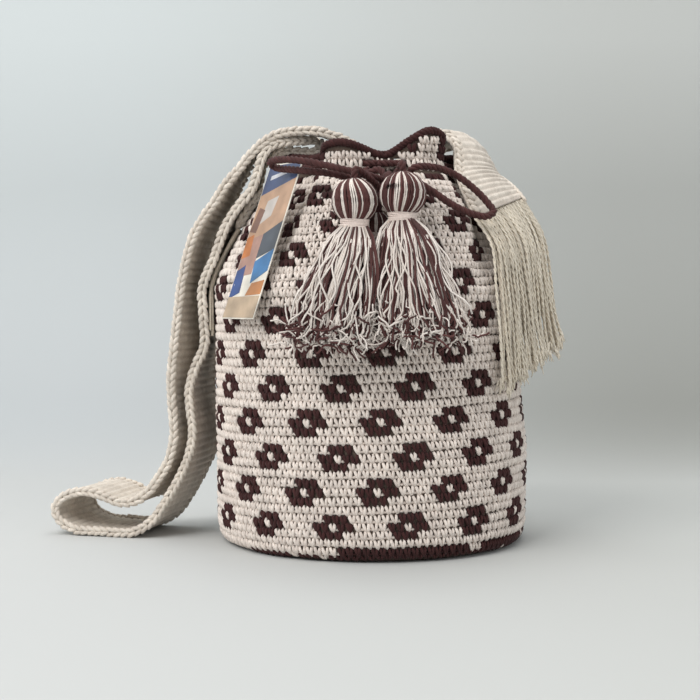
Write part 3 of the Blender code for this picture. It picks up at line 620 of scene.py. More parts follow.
def motif_step(band):
    """Whole stitches from the first motif's grid to this band's, so that the blocks stay nearly in line."""
    return round(OTHER_BAND * (band % 2) + (MOTIF_DRIFT - 4 * ROW_DRIFT) * band)


def is_brown(row, azimuth, per_motif):
    """Brown blocks of three rows: three, then two with a cream one between, then three stitches."""
    stitch = math.tau / (MOTIFS * per_motif)
    full = math.tau / (MOTIFS * STITCHES_PER_MOTIF)
    if row == 0:
        return not BARE_FROM < azimuth < BARE_TO and int((azimuth - SEAM) / stitch) not in (-1, -5, 24)
    if row == 1:
        return SEAM < azimuth < math.pi and int((azimuth - SEAM) / stitch) not in (17, 18, 30)
    band, step = divmod(row - 3, 4)
    if row < 3 or step == 3:
        return False
    centre = FIRST_MOTIF + (motif_step(band) + ROW_DRIFT * (row - 4)) * full
    period = math.tau / MOTIFS
    away = (azimuth - centre + period / 2) % period - period / 2
    place = abs(away / stitch)
    if step == 1:
        return 0.5 < place < 2.5
    return place < 1.5


def stitch_frames():
    """Place, ways right, up and out, size and colour of every stitch of the wall."""
    result = []
    rows = wall_rows()
    for row, height in enumerate(rows):
        per_motif = stitches_in_row(height)
        count = MOTIFS * per_motif
        stitch = math.tau / count
        above = rows[row + 1] if row + 1 < len(rows) else height + ROW
        size = above - height
        if row == 0:
            height, size = FOOT_ROW, ROW * 0.60
        for index in range(count):
            azimuth = FIRST_MOTIF + (index + ROW_DRIFT * (row - 4)) * stitch
            azimuth = (azimuth + math.pi) % math.tau - math.pi
            turn = turn_for(azimuth, height)
            rise = ROW_TILT * math.sin(azimuth) * smoothstep(0.0, 0.03, height)
            rise *= 1 - smoothstep(0.2, 0.24, height)
            rise += 0.00035 * (math.sin(3.0 * azimuth + row * 0.9) + math.sin(11.0 * azimuth + row * 2.1))
            result.append((turn, height + rise, stitch, size, is_brown(row, azimuth, per_motif)))
    return result


# Brown blocks above the eyelets: from and to an azimuth, and from and to a row
RIM_PATCHES = ((-47, -33, 0, 1), (18, 25, 1, 2), (37, 50, 0, 5), (84, 96, 0, 2), (112, 118, 1, 2),
               (140, 152, 0, 1), (-88, -76, 0, 2), (-112, -104, 1, 2), (-142, -130, 0, 1), (-178, -168, 0, 2))


def on_rim_patch(azimuth, level):
    degrees = (math.degrees(azimuth) + 180.0) % 360.0 - 180.0
    return any(low <= degrees <= high and first <= level <= last for low, high, first, last in RIM_PATCHES)


def rim_frames():
    """Stitches between the eyelets and above them, up to each lobe's rim."""
    result = []
    per_motif = 6
    count = MOTIFS * per_motif
    stitch = math.tau / count
    for index in range(count):
        turn = (index + 0.5) * stitch
        if not eyelet_at(turn):
            result.append((turn, NECK_HEIGHT, stitch, EYELET_HEIGHT, False))
        height = EYELET_TOP + ROW * 0.35
        level = 0
        while height < rim_height(turn) - 0.0040:
            result.append((turn, height, stitch, ROW * 0.92, on_rim_patch(azimuth_of(turn, height), level)))
            height += ROW * 0.92
            level += 1
    return result


def place_stitches(frames, relief=-0.0004):
    """Arrays of middle, ways right, up and out, width and height of the stitches."""
    rows = []
    for turn, height, stitch, rise, _ in frames:
        right = wall_point(turn + stitch / 2, height) - wall_point(turn - stitch / 2, height)
        up = unit(wall_point(turn, height + 0.0015) - wall_point(turn, height - 0.0015))
        width = np.linalg.norm(right)
        out = np.cross(right / width, up)
        middle = wall_point(turn, height) + out * relief
        rows.append((middle, right / width, up, out, width, rise / max(up[2], 0.35)))
    return [np.array(column) for column in zip(*rows)]


LEG = ((0.060, -0.64, -0.15), (0.145, -0.28, 0.35), (0.240, 0.08, 0.50), (0.305, 0.40, -0.45))
BRAID_LEG = ((0.03, -0.55, 0.15), (0.17, -0.22, 0.45), (0.31, 0.14, 0.30), (0.42, 0.50, -0.50))
LEG_RADII = (0.62, 1.0, 1.06, 0.80)
LEG_SLANT = 0.20
BROWN_LEG = ((0.045, -0.76, -0.02), (0.130, -0.34, 0.38), (0.240, 0.06, 0.50), (0.305, 0.40, -0.45))
FOOT_BARS_BELOW = 0.012
BRAID_PITCH = 0.0048
BRAID_WIDTH = 0.0056
BRAID_INSET = 0.0016
BRAID_LOWEST = 0.0034


def v_stitches(name, middles, rights, ups, outs, widths, heights, material, slot, thickness, jitter=0.05,
               slant=LEG_SLANT, legs=LEG):
    """Pairs of fat legs that meet at the bottom."""
    count = len(middles)
    paths = []
    radii = []
    tones = []
    for sign in (-1.0, 1.0):
        shake = rng.normal(0.0, jitter, (count, 3))
        size = widths * thickness * rng.uniform(0.90, 1.10, count)
        leg = [middles + rights * ((sign * x - slant * y + shake[:, 0] * 0.5) * widths)[:, None]
               + ups * ((y + shake[:, 1] * 0.5) * heights)[:, None]
               + outs * ((z + shake[:, 2]) * widths * 0.22)[:, None] for x, y, z in legs]
        paths.append(np.stack(leg, axis=1))
        radii.append(size[:, None] * np.array(LEG_RADII))
        tones.append(rng.uniform(0.45, 1.0, count))
    helper = np.concatenate([outs, outs])[:, None, :]
    return tube_object(name, np.concatenate(paths), np.concatenate(radii), 5, helper, material,
                       np.concatenate(tones))


def place_bars(name, middles, rights, ups, outs, widths, heights, material):
    """Short lengths of yarn behind the feet of the stitches, in random tones set darker than the stitches' as
    painted shade.
    """
    paths = np.stack([middles + rights * ((across + LEG_SLANT * 0.35) * widths)[:, None]
                      - ups * (0.36 * heights)[:, None] - outs * (0.13 * widths)[:, None]
                      for across in (0.16, 0.84)], axis=1)
    # Their tones lie lower than the stitches' as painted shade behind the feet.
    tube_object(name, paths, (widths * 0.21)[:, None], 4, outs[:, None, :], material,
                rng.uniform(0.25, 0.75, len(middles)))


def make_stitches():
    groups = {"cream_low": [], "cream_middle": [], "cream_high": [], "brown_stitches": []}
    for item in stitch_frames() + rim_frames():
        height, brown = item[1], item[4]
        cream = "cream_low" if height < 0.075 else "cream_middle" if height < 0.150 else "cream_high"
        groups["brown_stitches" if brown else cream].append(item)
    for name, members in groups.items():
        brown = name == "brown_stitches"
        material = BROWN if brown else CREAM
        v_stitches(name, *place_stitches(members), material, "cream_yarn",
                   thickness=0.225 if brown else 0.210, jitter=0.10 if name == "cream_high" else 0.06,
                   legs=BROWN_LEG if brown else LEG)
        if brown:
            members = [item for item in members if item[1] < FOOT_BARS_BELOW]
        place_bars(name + "_feet", *place_stitches(members), material)


make_stitches()


def make_edging():
    """The brown corded round over the rim."""
    turns = np.linspace(0.0, math.tau, 421)
    route = np.array([wall_point(turn, rim_height(turn) - EDGING_DROP, WALL / 2) for turn in turns])
    twisted_cord("rim_edging", route, BROWN, radius=EDGING_RADIUS, closed=True,
                 pitch=EDGING_PITCH)


make_edging()


# Strap. Each table of its route has x, y, z, heading, tilt and crown, in millimetres and degrees
MM = 0.001

# Back over itself at the rim, from the neck's left edge
FOLD = ((-5, -16, 3, 0, 0), (-4, -16, 9.3, 0, 0), (-0.5, -16, 11.8, 0, 0), (5, -16, 11.8, 0, 0),
        (14, -15, 11.6, 0, 1.5), (21.5, -14, 12.1, 0, 3), (24.6, -14, 15, 0, 4), (21.5, -16, 18, 0, 6),
        (14, -20, 18, 0, 7), (4.5, -24, 17, -1, 7), (-6, -27, 14.2, -2, 5), (-12.2, -28, 7.2, -3, 2),
        (-15, -28, -1, -3, 0))

# Down the bag's side, along the floor in a loop, and back up outside the first run, from the bag's left
DOWN = ((-15.5, -16, 113, 6), (-19.5, -15, 97, 10), (-18.5, -15, 85, 11), (-17, -15, 72, 11),
        (-19, -15, 58, 11), (-26.5, -15, 40, 11), (-36, -15, 24, 12), (-44, -14, 12.5, 12))
FLOOR_LOOP = ((-54, -13, 2.8, 13), (-68, -10, 0, 14), (-84, -6, 0, 15), (-100, -2, 2.2, 16),
              (-110, 1, 7.5, 16),
              (-113, 2, 13.5, 16), (-110.5, 1, 20, 16), (-102, -1, 25.5, 16), (-91, -4, 27.5, 15),
              (-80, -7, 25.5, 14), (-70, -9, 21.5, 13), (-58.5, -11, 21.5, 13), (-48.5, -12, 27.5, 12))
BACK_UP = ((-40.5, -13, 40, 12), (-34, -14, 51, 12), (-30, -15, 66, 13), (-30, -16, 83, 14),
           (-31.2, -17, 100, 15), (-30, -18, 118, 16), (-27.8, -19, 136, 14), (-25.5, -20, 154, 11),
           (-22.8, -22, 172, 8), (-19.4, -24, 186, 7), (-15.3, -26, 199, 6), (-9.5, -27, 210, 6))

# Over the rim's left edge, across the mouth, over the right of the rim and round the neck to the sewn end
TO_THE_MOUTH = ((-43.2, -28, -21, 5), (-36.8, -28, -11, 2), (-29.2, -28, -2, -1), (-21.5, -28, 7, -3, 2),
                (-14.2, -28, 14.5, -3, 5), (-6, -28, 20.2, -2, 7), (3.5, -28, 22.8, 0, 7),
                (14, -28, 23.5, 0, 7), (24, -28, 23, 0, 6))
CROSSING = ((-24, -28, 20, 0, 4), (-12, -28, 14.8, 0, 2), (-2.5, -28, 8.5, 0), (6, -28, 3.5, 2),
            (15, -28, 2, 5),
            (23.5, -27, 6.5, 8), (30.5, -26, 14, 12, -1, 1), (38, -26, 20.5, 16, -2, 2),
            (46.5, -28, 21.5, 20, -3, 4), (53, -33, 15.5, 23, -4, 6), (54.5, -39, 6.5, 27, -3, 7),
            (54.5, -45.5, -3.5, 31, 0, 7), (56.5, -53, -13.5, 34, 6, 5), (60.5, -60, -24, 36, 11, 3),
            (65, -65.5, -34.5, 37, 15, 1))


def on_left_wall(height, layers):
    """Sideways place of the strap where it lies on the wall's left, in layers of strap."""
    step = STRAP_THICKNESS + GAP * 2
    slope = (mean_radius(height - 0.004) - mean_radius(height + 0.004)) / 0.008
    stretch = math.hypot(1.0, slope)
    away = (GAP + STRAP_THICKNESS / 2 + step * layers) * stretch
    return wall_shift(height) - outside_radius(height) - away


def stations(table, from_x=0.0, from_z=0.0):
    """A table's rows in metres and degrees; a tilt or crown that a row leaves out is 0."""
    rows = []
    for row in table:
        x, y, z, heading, tilt, crown = (*row, 0, 0)[:6]
        rows.append((from_x + x * MM, y * MM, from_z + z * MM, heading, tilt, crown * MM))
    return rows


def strap_route():
    """Each station: near selvedge, heading and tilt of the way across, and how far the middle is crowned."""
    edge = NECK_SHIFT - NECK_RADIUS - SHOULDER_FOLD
    over_fringe = LEFT_FRINGE_THICKNESS * 1.5 + GAP * 2
    sewn_leg = [(on_left_wall(NECK_HEIGHT - drop, 0.15), -0.016, NECK_HEIGHT - drop, 0, 0, 0)
                for drop in (0.036, 0.028, 0.019, 0.009)]
    outside_leg = [(on_left_wall(NECK_HEIGHT - drop, 1.25), -0.028, NECK_HEIGHT - drop, heading, 0, 0)
                   for drop, heading in ((0.014, -2), (0.026, -1), (0.038, 0))]
    outside_fringe = [(on_left_wall(height, 0) - over_fringe, y, height, 0, 0, 0)
                      for height, y in ((NECK_HEIGHT - 0.058, -0.026), (BODY_HEIGHT, -0.024),
                                        (BODY_HEIGHT * 0.88, -0.022), (BODY_HEIGHT * 0.78, -0.019))]
    return (sewn_leg + stations(FOLD, edge, NECK_HEIGHT) + outside_leg + outside_fringe
            + stations(DOWN, -BODY_RADIUS) + stations(FLOOR_LOOP, -BODY_RADIUS, STRAP_THICKNESS / 2 + GAP)
            + stations(BACK_UP, -BODY_RADIUS) + stations(TO_THE_MOUTH, edge, NECK_HEIGHT)
            + stations(CROSSING, 0.0, NECK_HEIGHT))


def strap_frames(spacing):
    """Near selvedge, along, across and normal at stations an equal distance apart."""
    rows = even_route(strap_route(), spacing, 8)
    heading = np.radians(rows[:, 3])
    tilt = np.radians(rows[:, 4])
    across = np.stack([np.sin(heading) * np.cos(tilt), np.cos(heading) * np.cos(tilt), np.sin(tilt)], axis=1)
    along = np.gradient(rows[:, :3], axis=0)
    along = unit(along - across * (along * across).sum(axis=1, keepdims=True))
    return rows[:, :3], along, across, np.cross(along, across), rows[:, 5]


HANGING_HELPER = (0.18, 1.0, 0.05)
PLY_POINTS = 44
PLY_PITCH = 0.0100
PLY_RADIUS = 0.00062
RIB_PITCH = 0.0050
RIB_SAMPLES = 4
GRAINS = 12
GRAIN_SAMPLES = 3


def make_strap():
    """A cross-ribbed band, with a chain of stitches along each selvedge."""
    spacing = RIB_PITCH / RIB_SAMPLES
    places, along, across, normal, crown = strap_frames(spacing)
    count = len(places)
    columns = np.arange(GRAINS * GRAIN_SAMPLES + 1)
    shares = np.linspace(0.045, 0.955, len(columns))
    bulge = 4.0 * shares * (1.0 - shares)
    points = []
    tones = []
    rib_tone = rng.uniform(0.35, 1.0, (count // RIB_SAMPLES + 2, GRAINS + 2))
    for index in range(count):
        rib, step = divmod(index, RIB_SAMPLES)
        phase = step / RIB_SAMPLES
        ridge = abs(math.sin(math.pi * phase)) ** 0.7
        grain = (columns / GRAIN_SAMPLES + 0.28 * phase + 0.5 * (rib % 2)) % 1.0
        lump = np.sin(math.pi * grain) ** 0.8
        rise = normal[index] * (STRAP_THICKNESS / 2 * (0.52 + 0.52 * ridge * (0.62 + 0.38 * lump)))[:, None]
        middle = (places[index] + across[index] * (shares * STRAP_WIDTH)[:, None]
                  + normal[index] * (crown[index] * bulge)[:, None])
        points += [middle + rise, (middle - rise)[::-1]]
        tone = rib_tone[rib][np.minimum(columns // GRAIN_SAMPLES, GRAINS)]
        # Painted shade: the tone darkens into the grooves between ribs and between grains, over each rib's
        # own random tone.
        tone = tone * (0.50 + 0.50 * ridge * (0.6 + 0.4 * lump))
        tones += [tone, tone[::-1]]
    band = mesh_object("strap_band", np.concatenate(points), ring_faces(count, 2 * len(columns)), STRAP,
                       np.concatenate(tones), node="strap")
    places, along, across, normal, _ = strap_frames(BRAID_PITCH)
    widths = np.full(len(places), BRAID_WIDTH)
    braids = []
    for name, sign, offset in (("strap_braid_near", -1.0, BRAID_INSET),
                               ("strap_braid_far", 1.0, STRAP_WIDTH - BRAID_INSET)):
        middles = places + across * offset
        middles[:, 2] = np.maximum(middles[:, 2], BRAID_LOWEST)
        braids.append(v_stitches(name, middles, normal * sign, along, across * sign, widths,
                                 np.full(len(places), BRAID_PITCH * 1.35), STRAP, "strap_yarn",
                                 thickness=0.27, slant=0.0, legs=BRAID_LEG))
    return band, spacing * (count - 1), braids


def make_right_fringe():
    """Strands of two plies that hang from the strap's end, each with a tuft at its tip."""
    places, _, across, _, _ = strap_frames(0.004)
    near_top = places[-1]
    far_top = near_top + across[-1] * STRAP_WIDTH
    near_levels = ((-0.0260, -0.0740, 0.0190), (-0.0225, -0.0745, 0.0470), (-0.0210, -0.0735, 0.0790),
                   (-0.0200, -0.0720, FRINGE_LENGTH))
    far_levels = ((0.0085, -0.0130, 0.0210), (0.0150, -0.0100, 0.0490), (0.0200, -0.0060, 0.0740),
                  (0.0270, 0.0000, 0.0980))
    near, far = (even_route([top] + [(BODY_RADIUS + x, y, top[2] - drop) for x, y, drop in levels], 0.002)
                 for top, levels in ((near_top, near_levels), (far_top, far_levels)))

    def level(place, depth, share):
        a = near[int(share * (len(near) - 1))]
        b = far[int(share * (len(far) - 1))]
        way = unit(np.array(((b - a)[1], -(b - a)[0], 0.0)))
        return a + (b - a) * place + way * depth * FRINGE_THICKNESS * mix(0.45, 0.75, share)

    count = 66
    strands = [((index + 0.5) / count + rng.normal(0, 0.004), (-0.42, 0.42)[index % 2] + rng.normal(0, 0.06))
               for index in range(count)]
    ends = [rng.uniform(0.92, 1.0) for _ in range(count)]
    paths = []
    tones = []
    for strand, end in zip(strands, ends):
        phase = rng.uniform(0.0, math.tau, 3)
        tones += [rng.uniform(0.1, 1.0)] * 2
        for ply in range(2):
            path = []
            for share in np.linspace(0.0, 1.0, PLY_POINTS):
                turned = phase[0] + math.pi * ply + math.tau * share * end * FRINGE_LENGTH / PLY_PITCH
                sway = 0.0011 * smoothstep(0.0, 0.35, share)
                away = PLY_RADIUS * 0.85 * np.array((math.cos(turned), math.sin(turned), 0.0))
                away += sway * np.array((math.sin(phase[1] + 6.0 * share),
                                         0.6 * math.sin(phase[2] + 7.0 * share), 0.0))
                path.append(level(*strand, share * end) + away)
            paths.append(path)
    piece = tube_object("fringe_right_yarn", paths, PLY_RADIUS, 4, HANGING_HELPER, FRINGE, tones,
                        "fringe_right")
    tufts = []
    for strand, end in zip(strands, ends):
        for _ in range(4):
            start = level(*strand, end * 0.965)
            tip = level(*strand, end) + rng.normal(0.0, 0.0014, 3)
            tip[2] -= rng.uniform(0.001, 0.004)
            tufts.append([start, (start + tip) / 2 + rng.normal(0.0, 0.0007, 3), tip])
    tuft_piece = tube_object("fringe_right_ends", tufts, (0.0006, 0.0005, 0.0002), 4, HANGING_HELPER, FRINGE,
                             rng.uniform(0.5, 1.0, len(tufts)))
    return [piece, tuft_piece]


def make_left_fringe():
    """Strands that hang down the wall from the strap's sewn leg."""
    count = 80
    strands = [(mix(-0.020, 0.034, (index + 0.5) / count), rng.uniform(-0.0008, 0.0008))
               for index in range(count)]
    ends = [rng.uniform(0.93, 1.0) for _ in range(count)]
    phase = rng.uniform(0.0, math.tau, (count, 2))
    rate = rng.uniform(1.2, 2.6, (count, 2)) * math.pi
    paths = []
    for index, ((y, depth), end) in enumerate(zip(strands, ends)):
        path = []
        for share in np.linspace(0.0, 1.0, 10):
            height = NECK_HEIGHT - 0.036 - mix(0.0035, 0.074, share * end)
            x = wall_shift(height) - outside_radius(height) - GAP - LEFT_FRINGE_THICKNESS * 0.75 + depth
            sway = 0.0003 * smoothstep(0.0, 0.35, share) * np.sin(phase[index] + rate[index] * share)
            path.append((x + sway[0], y + sway[1] * 0.6, height))
        paths.append(path)
    return tube_object("fringe_left_yarn", paths, 0.00075 * rng.uniform(0.85, 1.15, (count, 1)), 5,
                       HANGING_HELPER, FRINGE, rng.uniform(0.3, 1.0, count), "fringe_left")


band, strap_length, braids = make_strap()
fringes = make_right_fringe() + [make_left_fringe()]


# Tassels
SKIRT_POINTS = 16
BROWN_SHARE = 0.61


def on_ball(tassel, radius, angle, rise):
    """A point beside the middle of a tassel's head."""
    return np.array(tassel.head) + (radius * math.cos(angle), radius * math.sin(angle), rise)


def head_strands(tassel, count):
    """Arcs of yarn over the ball, from the top to the neck."""
    paths = []
    for index in range(count):
        angle = math.tau * (index + rng.uniform(-0.3, 0.3)) / count
        path = []
        for polar in math.pi * np.linspace(0.05, 0.86, 9):
            turned = angle + 0.35 * math.sin(polar) + tassel.lean * 8 * math.cos(polar)
            radius = tassel.size * math.sin(polar) + 0.0004
            path.append(on_ball(tassel, radius, turned, tassel.size * 0.99 * math.cos(polar)))
        paths.append(path)
    return np.array(paths)


def banded(count):
    """Runs of brown and cream strands round a tassel's head: True for brown."""
    bands = []
    brown = True
    while len(bands) < count:
        bands += [brown] * int(rng.integers(2, 5) if brown else rng.integers(1, 4))
        brown = not brown
    return np.array(bands[:count])


def bundle_flows(count):
    """Each bundle of a skirt: its angle, reach, sway and whether it is brown."""
    return [dict(angle=math.tau * (index + rng.uniform(-0.35, 0.35)) / count, reach=rng.uniform(0.55, 1.0),
                 sway=rng.uniform(0.0008, 0.0030), phase=rng.uniform(0.0, math.tau),
                 rate=rng.uniform(3.0, 7.0), brown=rng.uniform() < BROWN_SHARE) for index in range(count)]


def skirt_strand(tassel, flow, neck, own, curl, drop):
    """One strand that follows its bundle's flow, with its own small waves and a curled end."""
    bottom = tassel_axis(tassel, 1.0)[2] - 0.003
    angle = flow["angle"] + rng.normal(0.0, 0.16)
    reach = min(flow["reach"] * rng.uniform(0.86, 1.10), 1.08)
    phase = rng.uniform(0.0, math.tau, 3)
    turns = rng.uniform(16.0, 32.0)
    path = []
    for step in range(SKIRT_POINTS):
        share = (step / (SKIRT_POINTS - 1)) ** 0.75
        down = share * drop
        axis = tassel_axis(tassel, down)
        width = mix(neck * 0.95, tassel.spread, down ** 0.50) * reach
        depth = mix(neck * 0.95, tassel.depth, smoothstep(0.0, 0.4, down)) * reach
        end = smoothstep(0.66, 1.0, share)
        fall = smoothstep(0.08, 0.45, share)
        x = axis[0] + width * math.cos(angle)
        x += fall * flow["sway"] * math.sin(flow["phase"] + flow["rate"] * share)
        x += fall * own * math.sin(phase[2] + 9.0 * share) + curl * end * math.sin(phase[0] + turns * share)
        y = axis[1] + depth * math.sin(angle) + 0.4 * curl * end * math.cos(phase[1] + turns * share)
        z = axis[2] + curl * end * 1.1 * math.sin(phase[1] + turns * 0.9 * share)
        path.append((x, y, max(z, bottom)))
    return path


def loose_ends(tassel, count):
    """Short curled ends that tangle along the foot of the skirt."""
    paths = []
    for _ in range(count):
        angle = rng.uniform(0.0, math.tau)
        reach = rng.uniform(0.35, 1.05)
        axis = tassel_axis(tassel, rng.uniform(0.78, 1.0))
        away = np.array((tassel.spread * math.cos(angle), tassel.depth * math.sin(angle), 0.0)) * reach
        way = rng.normal(0.0, 1.0, 3) * (1.0, 0.35, 0.9)
        path = [axis + away]
        for _ in range(6):
            way = way + rng.normal(0.0, 0.75, 3) * (1.0, 0.35, 1.0)
            path.append(path[-1] + unit(way) * 0.0019)
        paths.append(path)
    return np.array(paths)


def make_tassel(tassel):
    neck = tassel.size * 0.50
    rear = tassel.size <= REAR_HEAD_RADIUS
    core = tassel.size - 0.0010
    points = [on_ball(tassel, core * math.sin(polar), math.tau * turn / 20, core * math.cos(polar))
              for polar in math.pi * 0.092 * np.arange(1, 10) for turn in range(20)]
    mesh_object(tassel.name + "_core", points, ring_faces(9, 20), WINE, [0.3] * len(points), node=tassel.name)
    arcs = head_strands(tassel, 40 if rear else 72)
    bands = banded(len(arcs))
    flows = bundle_flows(14 if rear else 26)
    skirt = {True: [], False: []}
    for flow in flows:
        for _ in range(9):
            brown = bool(rng.uniform() < (0.80 if flow["brown"] else 0.30))
            skirt[brown].append(skirt_strand(tassel, flow, neck, 0.0005, rng.uniform(0.0004, 0.0026),
                                             rng.uniform(0.84, 1.0)))
    for index in range(14 if rear else 46):
        flow = dict(flows[index % len(flows)], reach=rng.uniform(0.85, 1.05))
        skirt[False].append(skirt_strand(tassel, flow, neck, rng.uniform(0.0008, 0.0040), 0.0022,
                                         rng.uniform(0.7, 1.0)))
    ends = loose_ends(tassel, 60 if rear else 230)
    halves = {True: ends[::3], False: np.concatenate([ends[1::3], ends[2::3]])}
    for colour, material, brown, radius in (("brown", WINE, True, 0.00070),
                                            ("cream", THREAD, False, 0.00056)):
        parts = (("head", arcs[bands == brown], radius, 5, (0.1, 0.2, 1.0)),
                 ("skirt", np.array(skirt[brown]), radius, 4, (0.25, 1.0, 0.1)),
                 ("ends", halves[brown], radius * 0.85, 4, (0.25, 1.0, 0.13)))
        for kind, strands, size, sides, helper in parts:
            tube_object(f"{tassel.name}_{kind}_{colour}", strands, size, sides, helper, material,
                        rng.uniform(0.3, 1.0, len(strands)))
    foot = -tassel.size * 0.80 - 0.0007
    wraps = [[on_ball(tassel, neck + 0.0016, angle,
                      foot - 0.00090 * turn + 0.0004 * math.sin(angle * 2 + turn))
              for angle in np.linspace(0.0, math.tau, 29)] for turn in range(3 if rear else 6)]
    tube_object(tassel.name + "_wraps", wraps, 0.00066, 6, (0.0, 0.0, 1.0), BINDING,
                rng.uniform(0.5, 1.0, len(wraps)), tassel.name + "_binding")


for tassel in tassel_list():
    make_tassel(tassel)


# Hang tag: a card with plain fields of colour
def card_material(name, colour):
    """Coated card with a faint cloudy print."""
    material, tree, shader = new_material(name, Roughness=0.38, Coat_Weight=0.25)
    grain = shade(tree, "TexNoise", Vector=(shade(tree, "TexCoord"), "Object"), Scale=60.0, Detail=5.0)
    dark, light = ([min(part * share, 1.0) for part in colour] for share in (0.72, 1.12))
    fill(shader, Base_Color=colour_ramp(tree, (grain, "Fac"), (0.35, dark), (0.65, light)))
    return material


def tag_seat():
    away = np.array((math.sin(TAG_AZIMUTH), -math.cos(TAG_AZIMUTH), 0.0))
    side = np.array((math.cos(TAG_AZIMUTH), math.sin(TAG_AZIMUTH), 0.0))
    farthest = 0.0
    low = NECK_HEIGHT - TAG_LENGTH * math.cos(TAG_LEAN)
    for row in range(60):
        height = mix(low, NECK_HEIGHT, row / 59)
        for column in range(56):
            point = wall_point(math.tau * column / 56, height)
            if abs(point.dot(side) - TAG_SHIFT) <= TAG_WIDTH / 2 + 0.004:
                farthest = max(farthest, point.dot(away) + (height - low) * math.tan(TAG_LEAN))
    return away, side, low, farthest + CORD_GAP


CARD_FIELDS = (
    ("card_sky", (0.050, 0.075, 0.17), ((0.0, 0.80), (1.0, 0.90), (1.0, 1.0), (0.0, 1.0))),
    ("card_white", (0.60, 0.60, 0.64), ((0.15, 0.90), (0.85, 0.95), (0.85, 0.97), (0.15, 0.93))),
    ("card_peach", (0.50, 0.31, 0.20), ((0.0, 0.46), (1.0, 0.60), (1.0, 0.90), (0.0, 0.80))),
    ("card_pale", (0.55, 0.50, 0.46), ((0.22, 0.60), (0.55, 0.66), (0.62, 0.79), (0.30, 0.76))),
    ("card_umber", (0.20, 0.10, 0.07), ((0.0, 0.56), (0.22, 0.55), (0.30, 0.70), (0.10, 0.72))),
    ("card_slate", (0.065, 0.075, 0.095), ((0.50, 0.38), (1.0, 0.44), (1.0, 0.62), (0.50, 0.54))),
    ("card_rose", (0.42, 0.24, 0.19), ((0.0, 0.26), (0.50, 0.28), (0.50, 0.54), (0.0, 0.50))),
    ("card_orange", (0.52, 0.17, 0.04), ((0.0, 0.38), (0.26, 0.40), (0.20, 0.54), (0.0, 0.52))),
    ("card_deep", (0.022, 0.060, 0.22), ((0.0, 0.12), (0.30, 0.16), (0.24, 0.34), (0.0, 0.30))),
    ("card_blue", (0.040, 0.17, 0.38), ((0.56, 0.22), (1.0, 0.30), (1.0, 0.44), (0.50, 0.36))),
    ("card_amber", (0.50, 0.20, 0.06), ((0.52, 0.14), (1.0, 0.15), (1.0, 0.24), (0.62, 0.22))),
    ("card_sand", (0.50, 0.37, 0.25), ((0.0, 0.0), (1.0, 0.0), (1.0, 0.14), (0.0, 0.13))),
)


def make_tag():
    """The card, and on its front a thin plate for each field of colour."""
    away, side, low, reach = tag_seat()
    slope = np.array((0.0, 0.0, math.cos(TAG_LEAN))) - away * math.sin(TAG_LEAN)
    normal = away * math.cos(TAG_LEAN) + np.array((0.0, 0.0, math.sin(TAG_LEAN)))
    foot = away * reach + side * TAG_SHIFT + np.array((0.0, 0.0, low))

    def on_card(u, v, lift):
        return foot + side * (u - 0.5) * TAG_WIDTH + slope * v * TAG_LENGTH + normal * lift

    section = [(u, 0.0) for u in (1.0, 0.5, 0.0)] + [(u, 0.0005) for u in (0.0, 0.5, 1.0)]
    points = [on_card(u, v, lift) for v in np.linspace(0.0, 1.0, 9) for u, lift in section]
    mesh_object("tag_card", points, ring_faces(9, 6), card_material("card_edge", (0.80, 0.75, 0.66)),
                smooth=False, node="hang_tag")
    for index, (name, colour, outline) in enumerate(CARD_FIELDS):
        points = [on_card(0.015 + u * 0.955, 0.008 + v * 0.984, lift)
                  for lift in (0.0004, 0.00056 + 0.00002 * index) for u, v in outline]
        mesh_object(name, points, ring_faces(2, len(outline)), card_material(name, colour), smooth=False)


make_tag()


# Floor, backdrop and light
BEND_START = 0.30
BEND_RADIUS = 0.28
HORIZON_FROM = 0.27
HORIZON_TO = 0.47


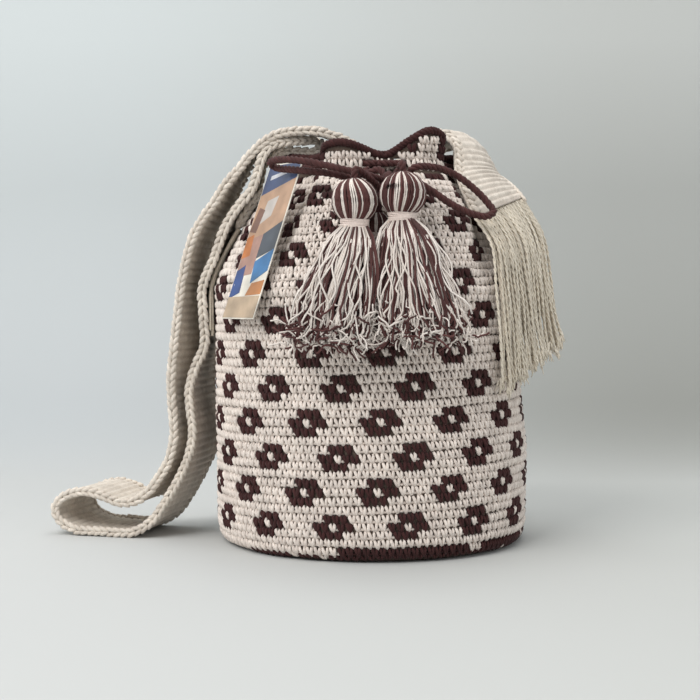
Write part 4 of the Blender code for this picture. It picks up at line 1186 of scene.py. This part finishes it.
def stage_material():
    """Pale paper with painted shade, darker towards the right and towards the backdrop's foot; clear from its
    back.
    """
    material, tree, shader = new_material("studio_paper", Roughness=0.85, Specular_IOR_Level=0.1)
    split = shade(tree, "SeparateXYZ", Vector=(shade(tree, "TexCoord"), "Object"))

    def along(axis, start, end, kind="LINEAR"):
        node = shade(tree, "MapRange", Value=(split, axis), From_Min=start, From_Max=end)
        node.interpolation_type = kind
        return node, "Result"

    # Painted shade on the paper: darker towards the right, darker at the backdrop's foot and lighter at its
    # top, the floor a little darker to the right.
    right = along("X", -0.33, 0.30, "SMOOTHSTEP")
    low = colour_mix(tree, (0.485, 0.510, 0.520, 1.0), (0.305, 0.310, 0.292, 1.0), right)
    high = colour_mix(tree, (0.610, 0.650, 0.655, 1.0), (0.535, 0.550, 0.535, 1.0), right)
    floor = colour_mix(tree, (0.570, 0.580, 0.575, 1.0), (0.550, 0.560, 0.543, 1.0), right)
    backdrop = colour_mix(tree, low, high, along("Z", 0.06, 0.44))
    back = along("Y", HORIZON_FROM, HORIZON_TO, "SMOOTHSTEP")
    fill(shader, Base_Color=colour_mix(tree, floor, backdrop, back))
    either = shade(tree, "MixShader", Fac=(shade(tree, "NewGeometry"), "Backfacing"))
    put_input(either, 1, (shader, "BSDF"))
    put_input(either, 2, (shade(tree, "BsdfTransparent"), "BSDF"))
    fill(tree.nodes["Material Output"], Surface=(either, "Shader"))
    return material


def make_stage():
    profile = [(-2.5, 0.0), (-0.5, 0.0), (0.0, 0.0), (BEND_START, 0.0)]
    profile += [(BEND_START + BEND_RADIUS * math.sin(angle), BEND_RADIUS * (1 - math.cos(angle)))
                for angle in math.pi / 48 * np.arange(1, 25)]
    profile.append((BEND_START + BEND_RADIUS, 2.6))
    points = [(x, y, z) for y, z in profile for x in (-3.0, 3.0)]
    faces = [(2 * i, 2 * i + 1, 2 * i + 3, 2 * i + 2) for i in range(len(profile) - 1)]
    mesh = bpy.data.meshes.new("studio_paper")
    mesh.from_pydata(points, [], faces)
    mesh.materials.append(stage_material())
    mesh.shade_smooth()
    item = bpy.data.objects.new("studio_paper", mesh)
    bpy.context.scene.collection.objects.link(item)


def area_light(name, place, target, size, power, colour=(1.0, 1.0, 1.0)):
    data = bpy.data.lights.new(name, "AREA")
    data.energy = power
    data.size = size
    data.color = colour
    lamp = bpy.data.objects.new(name, data)
    bpy.context.scene.collection.objects.link(lamp)
    lamp.location = place
    lamp.rotation_euler = (Vector(target) - Vector(place)).to_track_quat("-Z", "Y").to_euler()


def make_light():
    world = bpy.data.worlds.new("studio")
    bpy.context.scene.world = world
    world.use_nodes = True
    background = world.node_tree.nodes["Background"]
    background.inputs["Color"].default_value = (0.96, 0.98, 1.0, 1.0)
    background.inputs["Strength"].default_value = 0.48
    area_light("key", (-0.9, -1.3, 1.5), (0.0, 0.0, 0.12), 1.0, 22.0, (1.0, 0.985, 0.96))
    area_light("fill", (1.4, -1.2, 0.8), (0.0, 0.0, 0.12), 1.2, 5.5)
    area_light("top", (0.0, 0.1, 1.7), (0.0, 0.0, 0.1), 1.4, 13.0)
    area_light("side", (-1.7, -0.3, 0.7), (-0.1, 0.0, 0.12), 0.9, 5.0)


make_stage()
make_light()
bpy.context.scene.view_settings.view_transform = "Standard"
